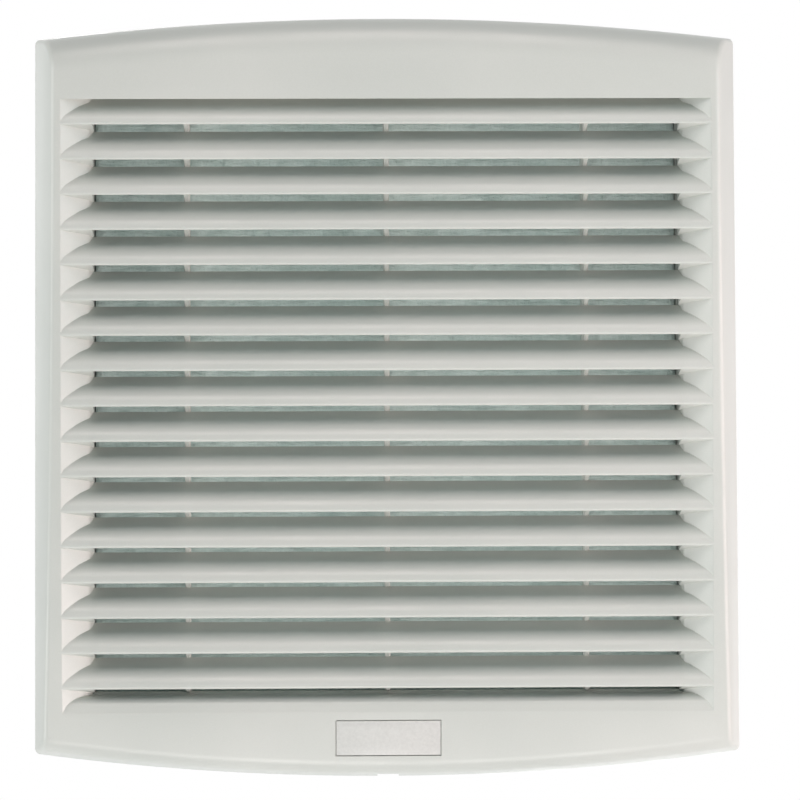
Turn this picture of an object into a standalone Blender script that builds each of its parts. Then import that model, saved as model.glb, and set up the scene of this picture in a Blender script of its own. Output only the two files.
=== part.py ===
# Cabinet filter fan: louvred snap-on cover, mounting frame with filter mat and
# spring claws, plenum deck, axial fan with outer rotor motor and finger guard.
# World frame in metres: X right, Y into the cabinet, Z up.  The outer face of
# the cabinet panel is the plane Y = 0 and the cut-out is centred on the origin.
from math import atan, cos, pi, radians, sin, sqrt, tan

import bmesh
import bpy
from mathutils import Matrix, Vector

# driving sizes, metres
CUTOUT = 0.223
GAP = 0.0003

# cover
COVER_WIDTH = CUTOUT + 0.025
COVER_HEIGHT = CUTOUT + 0.045
COVER_WALL = 0.0022
RIM_Y = -0.003
CREST_DEPTH = 0.0195
CREST_Z = COVER_HEIGHT / 2 - 0.034
CROWN_DROP = 0.00997
CROWN_RADIUS = (COVER_HEIGHT - 0.034) ** 2 / (2 * CROWN_DROP)
TOP_SAG = 0.00745
BOTTOM_SAG = 0.0085
SIDE_DRAFT = radians(20.5)
TOP_DRAFT = radians(9.0)
BOTTOM_DRAFT = radians(12.0)
TOP_ROLL = 0.0135
BOTTOM_ROLL = 0.0055
EDGE_ROUND = 0.0016
LABEL_HALF = 0.0185
LABEL_LOW = -COVER_HEIGHT / 2 + 0.0076
LABEL_HIGH = -COVER_HEIGHT / 2 + 0.0202
NOTCH_HALF = 0.00375

# louvres
SLAT_COUNT = 17
SLAT_TOP_Z = COVER_HEIGHT / 2 - 0.0399
SLAT_PITCH = (COVER_HEIGHT - 0.0589) / SLAT_COUNT
SLAT_DEPTH = 0.0094
SLAT_RISE = SLAT_PITCH * 0.878
OPENING_HALF = COVER_WIDTH / 2 - 0.0103
THROAT_HALF = OPENING_HALF - 0.0109
KNEE_DEPTH = SLAT_DEPTH * 0.745
KNEE_HALF = OPENING_HALF - 0.0097
OPENING_TOP = SLAT_TOP_Z + 0.0088
RIB_PITCH = OPENING_HALF * 0.615
RIB_WIDTH = 0.002

# mounting frame and filter mat
COLLAR_HALF = CUTOUT / 2 - 0.001
COLLAR_WALL = 0.0022
COLLAR_END = 0.016
FLANGE_HALF_X = COVER_WIDTH / 2 - 0.006
FLANGE_HALF_Z = COVER_HEIGHT / 2 - 0.014
FLANGE_SAG = 0.0018
FLANGE_FRONT = -0.0063
FLANGE_BACK = -0.0033
WEB_THICK = 0.0028
MAT_HALF_X = COLLAR_HALF - 0.0075
MAT_HALF_Z = COLLAR_HALF - 0.0045
MAT_FRONT = 0.0005
TRAY_CLEAR = 0.0004
TRAY_WALL = 0.0014
GRID_CELLS = 6
GRID_BAR = 0.0024
CORNER_X = FLANGE_HALF_X - 0.0035
CORNER_Z = FLANGE_HALF_Z - 0.005
BOSS_X = COLLAR_HALF - 0.004
BOSS_Z = COLLAR_HALF - 0.0105

# cover hinge and snap tongues
HINGE_Y = -0.012
HINGE_Z = COVER_HEIGHT / 2 - 0.0077
HINGE_X = COVER_WIDTH * 0.1815
PIN_RADIUS = 0.0014
HOOK_HALF = 0.003
TONGUE_X = COVER_WIDTH * 0.242
TONGUE_HALF = 0.005

# spring claws
CLAW_PIVOT_X = COLLAR_HALF - 0.0033
CLAW_PIVOT_Y = COLLAR_END - 0.0024
CLAW_Z = COLLAR_HALF * 0.543
CLAW_HALF = 0.006
CLAW_REACH = 0.004

# fan deck
DECK_DEPTH = 0.0142
DECK_WALL = 0.002
DECK_HALF = COLLAR_HALF - 0.0125
DECK_RIB_Z = DECK_HALF - 0.028
DECK_FRONT = COLLAR_END + GAP
DECK_BACK = DECK_FRONT + DECK_DEPTH
TERMINAL_X = DECK_HALF - 0.036
TERMINAL_Z = DECK_HALF - 0.0115
TERMINAL_PITCH = 0.010

# fan
FAN_FLANGE = DECK_HALF * 0.8776
FAN_BORE = FAN_FLANGE * 0.843
FAN_FLAT = FAN_FLANGE * 0.872
FAN_LENGTH = 0.051
FAN_HOLE_RADIUS = FAN_FLANGE * 0.9419
FAN_FRONT = DECK_BACK + GAP
FAN_BACK = FAN_FRONT + FAN_LENGTH
MOTOR_BASE = 0.0035
TUBE_FRONT = FAN_FRONT + FAN_LENGTH * 0.255
ROTOR_FRONT = FAN_FRONT + 0.0045
ROTOR_LENGTH = FAN_LENGTH - 0.015
HUB_RADIUS = FAN_BORE * 0.607
TUBE_OUTER = HUB_RADIUS * 0.257
TUBE_INNER = TUBE_OUTER - 0.003
SHAFT_RADIUS = 0.003
HUB_WALL = 0.002
BLADE_COUNT = 7
BLADE_TIP = FAN_BORE - 0.0015
BLADE_CHORD = ROTOR_LENGTH * 0.75
CUP_WALL = 0.0016
STATOR_RADIUS = HUB_RADIUS - HUB_WALL - GAP - CUP_WALL - 0.0042
WIRE = 0.001
GUARD_RINGS = 6
GUARD_LIFT = 0.0042

SIDES = (-1, 1)
Y = Vector((0, 1, 0))


def clear_file():
    for item in list(bpy.data.objects):
        bpy.data.objects.remove(item, do_unlink=True)
    for store in (bpy.data.meshes, bpy.data.materials, bpy.data.collections):
        for item in list(store):
            store.remove(item)


def make_material(name, colour, metallic, roughness):
    made = bpy.data.materials.new(name)
    made.use_nodes = True
    shader = made.node_tree.nodes["Principled BSDF"]
    shader.inputs["Base Color"].default_value = (*colour, 1.0)
    shader.inputs["Metallic"].default_value = metallic
    shader.inputs["Roughness"].default_value = roughness
    return made


def from_bmesh(shape, name="blank"):
    bmesh.ops.recalc_face_normals(shape, faces=shape.faces)
    mesh = bpy.data.meshes.new(name)
    shape.to_mesh(mesh)
    shape.free()
    item = bpy.data.objects.new(name, mesh)
    CUTTERS.objects.link(item)
    item.display_type = "WIRE"
    item.hide_render = True
    return item


# faces through rings of points, closed by one face at either end
def loft_into(shape, rings):
    rows = [[shape.verts.new(point) for point in ring] for ring in rings]
    for one, two in zip(rows, rows[1:]):
        for k in range(len(one)):
            nxt = (k + 1) % len(one)
            shape.faces.new((one[k], one[nxt], two[nxt], two[k]))
    shape.faces.new(rows[0])
    shape.faces.new(list(reversed(rows[-1])))


def loft(rings):
    shape = bmesh.new()
    loft_into(shape, rings)
    return from_bmesh(shape)


def box_into(shape, low, high):
    size = Vector(high) - Vector(low)
    centre = (Vector(high) + Vector(low)) / 2
    matrix = Matrix.Translation(centre) @ Matrix.Diagonal((*size, 1.0))
    return bmesh.ops.create_cube(shape, size=1.0, matrix=matrix)["verts"]


def boxes(pairs):
    shape = bmesh.new()
    for low, high in pairs:
        box_into(shape, low, high)
    return from_bmesh(shape)


# a straight round bar between two points
def bar_into(shape, start, end, radius, sides):
    start, end = Vector(start), Vector(end)
    axis = end - start
    turn = axis.to_track_quat("Z", "Y").to_matrix().to_4x4()
    bmesh.ops.create_cone(
        shape,
        cap_ends=True,
        segments=sides,
        radius1=radius,
        radius2=radius,
        depth=axis.length,
        matrix=Matrix.Translation((start + end) / 2) @ turn,
    )


def bars(ends, radius, sides=16):
    shape = bmesh.new()
    for start, end in ends:
        bar_into(shape, start, end, radius, sides)
    return from_bmesh(shape)


# an outline of (x, z) points swept along Y, or of (y, z) points along X
def slab(outline, low, high, along="y"):
    if along == "y":
        rings = [[(a, level, b) for a, b in outline] for level in (low, high)]
    elif along == "x":
        rings = [[(level, a, b) for a, b in outline] for level in (low, high)]
    else:
        rings = [[(a, b, level) for a, b in outline] for level in (low, high)]
    return loft(rings)


# an outline of (radius, y) points turned about a line along Y
def turned(outline, sides, centre=(0.0, 0.0)):
    rings = []
    for k in range(sides):
        angle = 2 * pi * (k + 0.5) / sides
        ring = [(centre[0] + r * cos(angle), y, centre[1] + r * sin(angle)) for r, y in outline]
        rings.append(ring)
    shape = bmesh.new()
    rows = [[shape.verts.new(point) for point in ring] for ring in rings]
    for k in range(sides):
        one, two = rows[k], rows[(k + 1) % sides]
        for j in range(len(outline)):
            nxt = (j + 1) % len(outline)
            shape.faces.new((one[j], one[nxt], two[nxt], two[j]))
    return from_bmesh(shape)


def combine(item, other, operation):
    step = item.modifiers.new("step", "BOOLEAN")
    step.operation = operation
    step.solver = "EXACT"
    step.object = other
    graph = bpy.context.evaluated_depsgraph_get()
    mesh = bpy.data.meshes.new_from_object(item.evaluated_get(graph))
    item.modifiers.clear()
    item.data = mesh
    return item


def cut(item, *tools):
    for tool in tools:
        combine(item, tool, "DIFFERENCE")
    return item


def fuse(item, *others):
    for other in others:
        combine(item, other, "UNION")
    return item


# turns the finished body into triangles about its own origin and names it
def finish(item, name, material, origin=(0.0, 0.0, 0.0)):
    shape = bmesh.new()
    shape.from_mesh(item.data)
    bmesh.ops.remove_doubles(shape, verts=shape.verts, dist=2e-6)
    bmesh.ops.triangulate(shape, faces=shape.faces)
    bmesh.ops.recalc_face_normals(shape, faces=shape.faces)
    bmesh.ops.translate(shape, verts=shape.verts, vec=-Vector(origin))
    mesh = bpy.data.meshes.new(name)
    shape.to_mesh(mesh)
    shape.free()
    made = bpy.data.objects.new(name, mesh)
    made.location = origin
    made.data.materials.append(material)
    PARTS.objects.link(made)
    return made


# distance from the rim plane to the crowned face at height z
def face_depth(z):
    drop = max(0.0, CREST_Z - z)
    return CREST_DEPTH - drop * drop / (2 * CROWN_RADIUS)


# a point set back by depth from the crowned face
def behind_face(x, depth, z):
    return (x, RIM_Y - face_depth(z) + depth, z)


def arc_radius(sag):
    half = COVER_WIDTH / 2
    return (half * half + sag * sag) / (2 * sag)


def top_edge(x):
    radius = arc_radius(TOP_SAG)
    return COVER_HEIGHT / 2 - (radius - sqrt(radius * radius - x * x))


def bottom_edge(x):
    radius = arc_radius(BOTTOM_SAG)
    return -COVER_HEIGHT / 2 + (radius - sqrt(radius * radius - x * x))


# (depth, z) points of the cover seen from the side, from top rim to bottom rim
def side_profile(x, inset, start):
    top = top_edge(x) - inset / cos(TOP_DRAFT)
    low = bottom_edge(x) + inset / cos(BOTTOM_DRAFT)
    points = [(start, top - start * tan(TOP_DRAFT))]
    roll = TOP_ROLL - inset
    centre_d = CREST_DEPTH - inset - roll
    centre_z = top - (centre_d + roll * sin(TOP_DRAFT)) * tan(TOP_DRAFT) - roll * cos(TOP_DRAFT)
    for k in range(6):
        angle = TOP_DRAFT + (pi / 2 - TOP_DRAFT) * k / 5
        points.append((centre_d + roll * sin(angle), centre_z + roll * cos(angle)))
    roll = BOTTOM_ROLL - inset
    low_z = low + roll
    for _ in range(6):
        slope = atan((CREST_Z - low_z) / CROWN_RADIUS)
        low_d = face_depth(low_z - roll * sin(slope)) - inset - roll * cos(slope)
        reach = (low_d + roll * sin(BOTTOM_DRAFT)) * tan(BOTTOM_DRAFT)
        low_z = low + reach + roll * cos(BOTTOM_DRAFT)
    steps = 10
    face_end = low_z - roll * sin(slope)
    for k in range(1, steps):
        z = centre_z + (face_end - centre_z) * k / steps
        points.append((face_depth(z) - inset, z))
    for k in range(4):
        angle = pi / 2 + slope + (pi / 2 - BOTTOM_DRAFT - slope) * k / 3
        points.append((low_d + roll * sin(angle), low_z + roll * cos(angle)))
    points.append((start, low + start * tan(BOTTOM_DRAFT)))
    return points


# the closed body of the cover, or of its hollow when an inset is given
def cover_form(inset, start):
    steps = 16
    rings = []
    for k in range(steps + 1):
        u = -1 + 2 * k / steps
        ring = []
        for depth, z in side_profile(u * COVER_WIDTH / 2, inset, start):
            half = COVER_WIDTH / 2 - inset / cos(SIDE_DRAFT) - depth * tan(SIDE_DRAFT)
            ring.append((u * half, RIM_Y - depth, z))
        rings.append(ring)
    shape = bmesh.new()
    loft_into(shape, rings)
    if inset == 0.0:
        bmesh.ops.recalc_face_normals(shape, faces=shape.faces)
        rim = [f for f in shape.faces if all(abs(v.co.y - RIM_Y) < 1e-7 for v in f.verts)]
        bmesh.ops.dissolve_faces(shape, faces=rim)
        caps = [f for f in shape.faces if len(f.verts) == len(rings[0])]
        edges = set()
        for cap in caps:
            for edge in cap.edges:
                if any(v.co.y < RIM_Y - 1e-6 for v in edge.verts):
                    edges.add(edge)
        bmesh.ops.bevel(
            shape, geom=list(edges), offset=EDGE_ROUND, segments=2, profile=0.5,
            affect="EDGES", clamp_overlap=True,
        )
    return from_bmesh(shape)


# half width of the louvre opening at a depth behind the face: the end wall slants in, then steepens
def opening_half(depth):
    if depth < KNEE_DEPTH:
        return OPENING_HALF - depth * (OPENING_HALF - KNEE_HALF) / KNEE_DEPTH
    return KNEE_HALF - (depth - KNEE_DEPTH) * (KNEE_HALF - THROAT_HALF) / (SLAT_DEPTH - KNEE_DEPTH)


# height of the front edge of the footer, below the lowest louvre
def footer_z():
    return SLAT_TOP_Z - (SLAT_COUNT - 0.31) * SLAT_PITCH


# upper surface of the footer as (depth, height) from its front edge
def footer_top():
    shape = (
        (0, 0), (0.056, 0.12), (0.133, 0.287), (0.22, 0.38), (0.322, 0.463),
        (0.462, 0.528), (0.6, 0.556), (0.823, 0.583), (1, 0.685),
    )
    return [(SLAT_DEPTH * d, SLAT_RISE * h) for d, h in shape]


# the slanted tunnel behind the opening, grown outward by wall
def tunnel(front, back, wall, floor_drop):
    steps = 18
    lip = footer_z()
    top_slope = 0.45
    floor_slope = (SLAT_RISE * 0.685 - 0.0010) / SLAT_DEPTH
    rings = []
    for k in range(steps + 1):
        t = k / steps
        ring = []
        for depth in (front, KNEE_DEPTH, back):
            low = lip + 0.0005 + depth * floor_slope - floor_drop
            high = OPENING_TOP + depth * top_slope + wall
            z = low + (high - low) * t
            ring.append(behind_face(opening_half(depth) + wall, depth, z))
        mirror = [(-x, y, z) for x, y, z in reversed(ring)]
        rings.append(ring + mirror)
    return loft(rings)


# upper surface of a louvre blade as (depth, height) from its lower front edge
def blade_top():
    shape = ((0, 0.09), (0.07, 0.24), (0.21, 0.39), (0.48, 0.60), (0.72, 0.735), (1, 1))
    return [(SLAT_DEPTH * d, SLAT_RISE * h) for d, h in shape]


def blade_under():
    shape = ((0.20, 0.185), (0.49, 0.42), (0.74, 0.56), (1, 0.81))
    return [(SLAT_DEPTH * d, SLAT_RISE * h) for d, h in shape]


# one louvre: a thin curved blade whose two ends are filled down to a flat web
def louvre_into(shape, z):
    sink = 0.001
    top = blade_top()
    under = [(0.0, 0.0)] + blade_under()
    web = (SLAT_DEPTH, 0.0005)
    upper = len(top)
    every = top + list(reversed(under)) + [web]
    inner = THROAT_HALF - 0.0002

    def column(pick):
        made = []
        for depth, rise in every:
            made.append(shape.verts.new(behind_face(pick(depth), depth, z + rise)))
        return made

    ends = {}
    for side in (-1, 1):
        ends[side] = (
            column(lambda d, s=side: s * (opening_half(d) + sink)),
            column(lambda d, s=side: s * inner),
        )
    count = len(every)
    under_last = count - 2
    wedge = list(range(upper + 1)) + [count - 1, under_last]
    for side in (-1, 1):
        far, near = ends[side]
        for k in range(len(wedge)):
            a, b = wedge[k], wedge[(k + 1) % len(wedge)]
            shape.faces.new((far[a], far[b], near[b], near[a]))
        shape.faces.new([far[k] for k in wedge])
        shape.faces.new([near[k] for k in range(upper, count)])
    thin = list(range(count - 1))
    for k in range(len(thin)):
        a, b = thin[k], thin[(k + 1) % len(thin)]
        shape.faces.new((ends[-1][1][a], ends[-1][1][b], ends[1][1][b], ends[1][1][a]))


# the rounded top of the footer, solid down to the tunnel floor
def footer_lip():
    lip = footer_z()
    points = footer_top() + [(SLAT_DEPTH, SLAT_RISE * 0.55)]
    rings = []
    for side in (-1, 1):
        ring = []
        for depth, rise in points:
            ring.append(behind_face(side * (opening_half(depth) + 0.001), depth, lip + rise))
        rings.append(ring)
    return loft(rings)


# three upright ribs behind the blades, with a web under each blade that slants back from its lip
def louvre_ribs():
    shape = bmesh.new()
    low = footer_z() + SLAT_RISE * 0.6
    high = OPENING_TOP + 0.0035
    for k in (-1, 0, 1):
        rings = []
        for j in range(10):
            z = low + (high - low) * j / 9
            ring = []
            for dx, depth in ((-0.5, 0.98), (0.5, 0.98), (0.5, 1.12), (-0.5, 1.12)):
                ring.append(behind_face(k * RIB_PITCH + dx * RIB_WIDTH, depth * SLAT_DEPTH, z))
            rings.append(ring)
        loft_into(shape, rings)
    return from_bmesh(shape)


def rib_webs():
    outline = ((0.06, 0.12), (0.49, 0.5), (1.05, 0.9), (1.05, -0.18), (0.97, -0.18), (0.06, 0.04))
    shape = bmesh.new()
    for k in (-1, 0, 1):
        for number in range(SLAT_COUNT):
            lip = SLAT_TOP_Z - number * SLAT_PITCH
            rings = []
            for side in (-0.45, 0.45):
                x = k * RIB_PITCH + side * RIB_WIDTH
                rings.append([behind_face(x, d * SLAT_DEPTH, lip + h * SLAT_RISE) for d, h in outline])
            loft_into(shape, rings)
    return from_bmesh(shape)


# a pad set into the face between two depths, following its crown
def face_pad(half, low, high, front, back):
    corners = ((-half, low), (half, low), (half, high), (-half, high))
    return loft([[behind_face(x, depth, z) for x, z in corners] for depth in (front, back)])


# an open hook round the hinge pin, hung from the top wall of the cover
def hinge_hooks():
    inner = PIN_RADIUS + GAP
    outer = inner + 0.0019
    shape = bmesh.new()
    for side in (-1, 1):
        middle = side * HINGE_X
        outline = []
        first, last = radians(-15), radians(255)
        for k in range(11):
            angle = first + (last - first) * k / 10
            outline.append((HINGE_Y + outer * cos(angle), HINGE_Z + outer * sin(angle)))
        for k in range(11):
            angle = last - (last - first) * k / 10
            outline.append((HINGE_Y + inner * cos(angle), HINGE_Z + inner * sin(angle)))
        ends = (middle - HOOK_HALF, middle + HOOK_HALF)
        loft_into(shape, [[(x, a, b) for a, b in outline] for x in ends])
    return from_bmesh(shape)


def hook_stems():
    pairs = []
    base = HINGE_Z + PIN_RADIUS + GAP + 0.0006
    for side in (-1, 1):
        middle = side * HINGE_X
        roof = top_edge(HINGE_X + HOOK_HALF) - 0.0034
        pairs.append((
            (middle - HOOK_HALF, HINGE_Y - 0.0026, base),
            (middle + HOOK_HALF, HINGE_Y + 0.0026, roof),
        ))
    return boxes(pairs)


def snap_tongues():
    pairs = []
    low = -FLANGE_HALF_Z + 0.0004
    front = RIM_Y - face_depth(low) + COVER_WALL * 0.5
    for side in (-1, 1):
        middle = side * TONGUE_X
        pairs.append((
            (middle - TONGUE_HALF, front, low),
            (middle + TONGUE_HALF, FLANGE_BACK - GAP, low + 0.0017),
        ))
    return boxes(pairs)


def build_cover():
    cover = cover_form(0.0, 0.0)
    cut(cover, cover_form(COVER_WALL, -0.002))
    fuse(cover, tunnel(0.0011, SLAT_DEPTH, 0.002, 0.0013))
    cut(cover, tunnel(-0.002, SLAT_DEPTH + 0.002, 0.0, 0.0))
    shape = bmesh.new()
    for k in range(SLAT_COUNT):
        louvre_into(shape, SLAT_TOP_Z - k * SLAT_PITCH)
    fuse(cover, from_bmesh(shape), footer_lip(), louvre_ribs())
    fuse(cover, rib_webs())
    fuse(cover, hinge_hooks(), hook_stems(), snap_tongues())
    cut(cover, face_pad(LABEL_HALF, LABEL_LOW, LABEL_HIGH, -0.001, 0.0009))
    floor = -COVER_HEIGHT / 2
    low = (-NOTCH_HALF, RIM_Y - 0.0045, floor - 0.001)
    cut(cover, boxes([(low, (NOTCH_HALF, RIM_Y + 0.001, floor + 0.00125))]))
    finish(cover, "front_cover", ABS_LIGHT, (0.0, HINGE_Y, HINGE_Z))
    rim = 0.0003
    plate = face_pad(LABEL_HALF - rim, LABEL_LOW + rim, LABEL_HIGH - rim, 0.0001, 0.0006)
    finish(plate, "label_plate", LABEL_GREY, (0.0, HINGE_Y, HINGE_Z))


def rounded(half_x, half_z, radius, steps=3):
    points = []
    for cx, cz, start in ((1, 1, 0), (-1, 1, 90), (-1, -1, 180), (1, -1, 270)):
        for k in range(steps + 1):
            angle = radians(start + 90 * k / steps)
            points.append((
                cx * (half_x - radius) + radius * cos(angle),
                cz * (half_z - radius) + radius * sin(angle),
            ))
    return points


# the four places that mirror (x, z) left to right and top to bottom
def four(x, z):
    return [(sx * x, sz * z) for sx in SIDES for sz in SIDES]


# round posts or holes along Y at the given places
def pegs(places, low, high, radius):
    return bars([((x, low, z), (x, high, z)) for x, z in places], radius, 12)


# the flange outline, its top edge bowed so that the rim of the cover swings past
def flange_outline():
    corners = rounded(FLANGE_HALF_X, FLANGE_HALF_Z, 0.004)
    reach = FLANGE_HALF_X - 0.004
    top = [(reach * (1 - k / 6), FLANGE_HALF_Z) for k in range(1, 12)]
    points = corners[:4] + top + corners[4:]
    return [(x, z - FLANGE_SAG * (x / FLANGE_HALF_X) ** 2 if z > 0 else z) for x, z in points]


# ears that carry the hinge pin ends, standing on the top of the flange
def hinge_ears():
    ear = 0.0022
    shape = bmesh.new()
    for side in SIDES:
        for hand in SIDES:
            near = side * HINGE_X + hand * (HOOK_HALF + GAP)
            far = near + hand * ear
            outline = [(FLANGE_FRONT + 0.0005, FLANGE_HALF_Z - 0.0075)]
            for k in range(9):
                angle = radians(235 - k * 27.5)
                outline.append((HINGE_Y + 0.0022 * cos(angle), HINGE_Z + 0.0022 * sin(angle)))
            outline.append((FLANGE_FRONT + 0.0005, FLANGE_HALF_Z - 0.0001))
            loft_into(shape, [[(x, a, b) for a, b in outline] for x in sorted((near, far))])
    return from_bmesh(shape)


def hinge_pins():
    reach = HOOK_HALF + GAP + 0.001
    ends = []
    for side in (-1, 1):
        middle = side * HINGE_X
        ends.append(((middle - reach, HINGE_Y, HINGE_Z), (middle + reach, HINGE_Y, HINGE_Z)))
    return bars(ends, PIN_RADIUS, 12)


def build_mounting_frame():
    frame = slab(flange_outline(), FLANGE_FRONT, FLANGE_BACK)
    fuse(frame, slab(rounded(COLLAR_HALF, COLLAR_HALF, 0.003), FLANGE_BACK - 0.001, COLLAR_END))
    hollow = COLLAR_HALF - COLLAR_WALL
    web = COLLAR_END - WEB_THICK
    cut(frame, slab(rounded(hollow, hollow, 0.0015), FLANGE_FRONT - 0.001, web))
    grown = TRAY_CLEAR + TRAY_WALL
    tray = slab(rounded(MAT_HALF_X + grown, MAT_HALF_Z + grown, 0.002), -0.0026, web + 0.001)
    inner = rounded(MAT_HALF_X + TRAY_CLEAR, MAT_HALF_Z + TRAY_CLEAR, 0.0008)
    cut(tray, slab(inner, -0.004, web))
    fuse(frame, tray, pegs(four(BOSS_X, BOSS_Z), FLANGE_BACK - 0.001, COLLAR_END, 0.0028))
    cut(frame, grid_cells(web))
    cut(frame, pegs(four(BOSS_X, BOSS_Z), COLLAR_END - 0.010, COLLAR_END + 0.001, 0.0015))
    cut(frame, pegs(four(CORNER_X, CORNER_Z), FLANGE_FRONT - 0.001, FLANGE_BACK + 0.0005, 0.0016))
    notches = []
    for side in SIDES:
        middle = side * TONGUE_X
        notches.append((
            (middle - TONGUE_HALF - 0.001, FLANGE_FRONT - 0.001, -FLANGE_HALF_Z - 0.001),
            (middle + TONGUE_HALF + 0.001, FLANGE_BACK + 0.001, -FLANGE_HALF_Z + 0.0025),
        ))
    cut(frame, boxes(notches))
    claw_seats(frame)
    fuse(frame, hinge_ears(), hinge_pins())
    finish(frame, "mounting_frame", ABS_FRAME)


# the square holes of the support grid behind the mat
def grid_cells(web):
    edge = 0.003
    pitch_x = (2 * (MAT_HALF_X - edge) + GRID_BAR) / GRID_CELLS
    pitch_z = (2 * (MAT_HALF_Z - edge) + GRID_BAR) / GRID_CELLS
    cells = []
    for i in range(GRID_CELLS):
        for j in range(GRID_CELLS):
            left = -MAT_HALF_X + edge + i * pitch_x
            low = -MAT_HALF_Z + edge + j * pitch_z
            cells.append((
                (left, web - 0.001, low),
                (left + pitch_x - GRID_BAR, COLLAR_END + 0.001, low + pitch_z - GRID_BAR),
            ))
    return boxes(cells)


# window, cheeks and pivot hole for each spring claw
def claw_seats(frame):
    windows = []
    cheeks = []
    holes = []
    reach = CLAW_HALF + GAP
    for sx in SIDES:
        for sz in SIDES:
            middle = sz * CLAW_Z
            xs = sorted((sx * (MAT_HALF_X + TRAY_CLEAR + TRAY_WALL), sx * (COLLAR_HALF + 0.001)))
            low = (xs[0], 0.0012, middle - reach)
            windows.append((low, (xs[1], COLLAR_END + 0.001, middle + reach)))
            xs = sorted((sx * (MAT_HALF_X + TRAY_CLEAR + TRAY_WALL / 2), sx * (COLLAR_HALF - 0.0004)))
            for hand in SIDES:
                zs = sorted((middle + hand * reach, middle + hand * (reach + 0.002)))
                cheeks.append(((xs[0], 0.0105, zs[0]), (xs[1], COLLAR_END, zs[1])))
            end = reach + 0.0019
            x = sx * CLAW_PIVOT_X
            holes.append(((x, CLAW_PIVOT_Y, middle - end), (x, CLAW_PIVOT_Y, middle + end)))
    fuse(frame, boxes(cheeks))
    cut(frame, boxes(windows), bars(holes, 0.0011, 10))


def build_gasket():
    inner = CUTOUT / 2 + 0.0005
    gasket = slab(flange_outline(), -0.003, 0.0)
    cut(gasket, slab(rounded(inner, inner, 0.003), -0.004, 0.001))
    cut(gasket, pegs(four(CORNER_X, CORNER_Z), -0.004, 0.001, 0.0016))
    finish(gasket, "gasket", FOAM_BLACK)


def build_filter_mat():
    back = COLLAR_END - WEB_THICK - GAP
    mat = slab(rounded(MAT_HALF_X, MAT_HALF_Z, 0.003), MAT_FRONT, back)
    finish(mat, "filter_mat", FIBRE)


# a claw that hooks the panel edge: barrel, arm and wedge-shaped catch
def build_claws():
    px, py = CLAW_PIVOT_X, CLAW_PIVOT_Y
    tip = COLLAR_HALF + CLAW_REACH
    side_view = []
    for k in range(7):
        angle = radians(30 * k)
        side_view.append((px + 0.0015 * cos(angle), py + 0.0015 * sin(angle)))
    side_view += [
        (px - 0.0005, py - 0.004),
        (px + 0.0013, 0.0036),
        (tip - 0.0004, 0.0032),
        (tip, 0.0036),
        (tip, 0.0042),
        (px + 0.0030, py - 0.0036),
    ]
    stub = 0.0016
    number = 0
    for sx in SIDES:
        for sz in SIDES:
            number += 1
            low, high = sz * CLAW_Z - CLAW_HALF, sz * CLAW_Z + CLAW_HALF
            claw = slab([(sx * a, b) for a, b in side_view], low, high, along="z")
            fuse(claw, bars([((sx * px, py, low - stub), (sx * px, py, high + stub))], 0.0008, 10))
            finish(claw, "spring_claw_" + str(number), ABS_FRAME, (sx * px, py, sz * CLAW_Z))


# a cross-head screw along Y, its head on the side that direction points to
def screw(name, place, direction, head_radius, head_height, shank_radius, length, material):
    x, y, z = place
    sides = 10
    outline = [
        (0.0, head_height),
        (head_radius * 0.72, head_height),
        (head_radius, head_height * 0.45),
        (head_radius, 0.0),
        (shank_radius, 0.0),
        (shank_radius, -length + shank_radius * 0.6),
        (shank_radius * 0.4, -length),
        (0.0, -length),
    ]
    shape = bmesh.new()
    rows = []
    for radius, level in outline:
        height = y + direction * level
        if radius == 0.0:
            rows.append([shape.verts.new((x, height, z))] * sides)
            continue
        row = []
        for k in range(sides):
            angle = 2 * pi * k / sides
            row.append(shape.verts.new((x + radius * cos(angle), height, z + radius * sin(angle))))
        rows.append(row)
    for one, two in zip(rows, rows[1:]):
        for k in range(sides):
            nxt = (k + 1) % sides
            corners = []
            for vert in (one[k], one[nxt], two[nxt], two[k]):
                if vert not in corners:
                    corners.append(vert)
            shape.faces.new(corners)
    item = from_bmesh(shape)
    slot = head_radius * 0.62
    thick = head_radius * 0.13
    inner = y + direction * head_height * 0.45
    outer = y + direction * (head_height + 0.001)
    low, high = min(inner, outer), max(inner, outer)
    level = boxes([((x - slot, low, z - thick), (x + slot, high, z + thick))])
    upright = boxes([((x - thick, low, z - slot), (x + thick, high, z + slot))])
    cut(item, level, upright)
    finish(item, name, material, place)


def fan_holes():
    return four(FAN_HOLE_RADIUS * cos(pi / 6), FAN_HOLE_RADIUS * sin(pi / 6))


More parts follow.
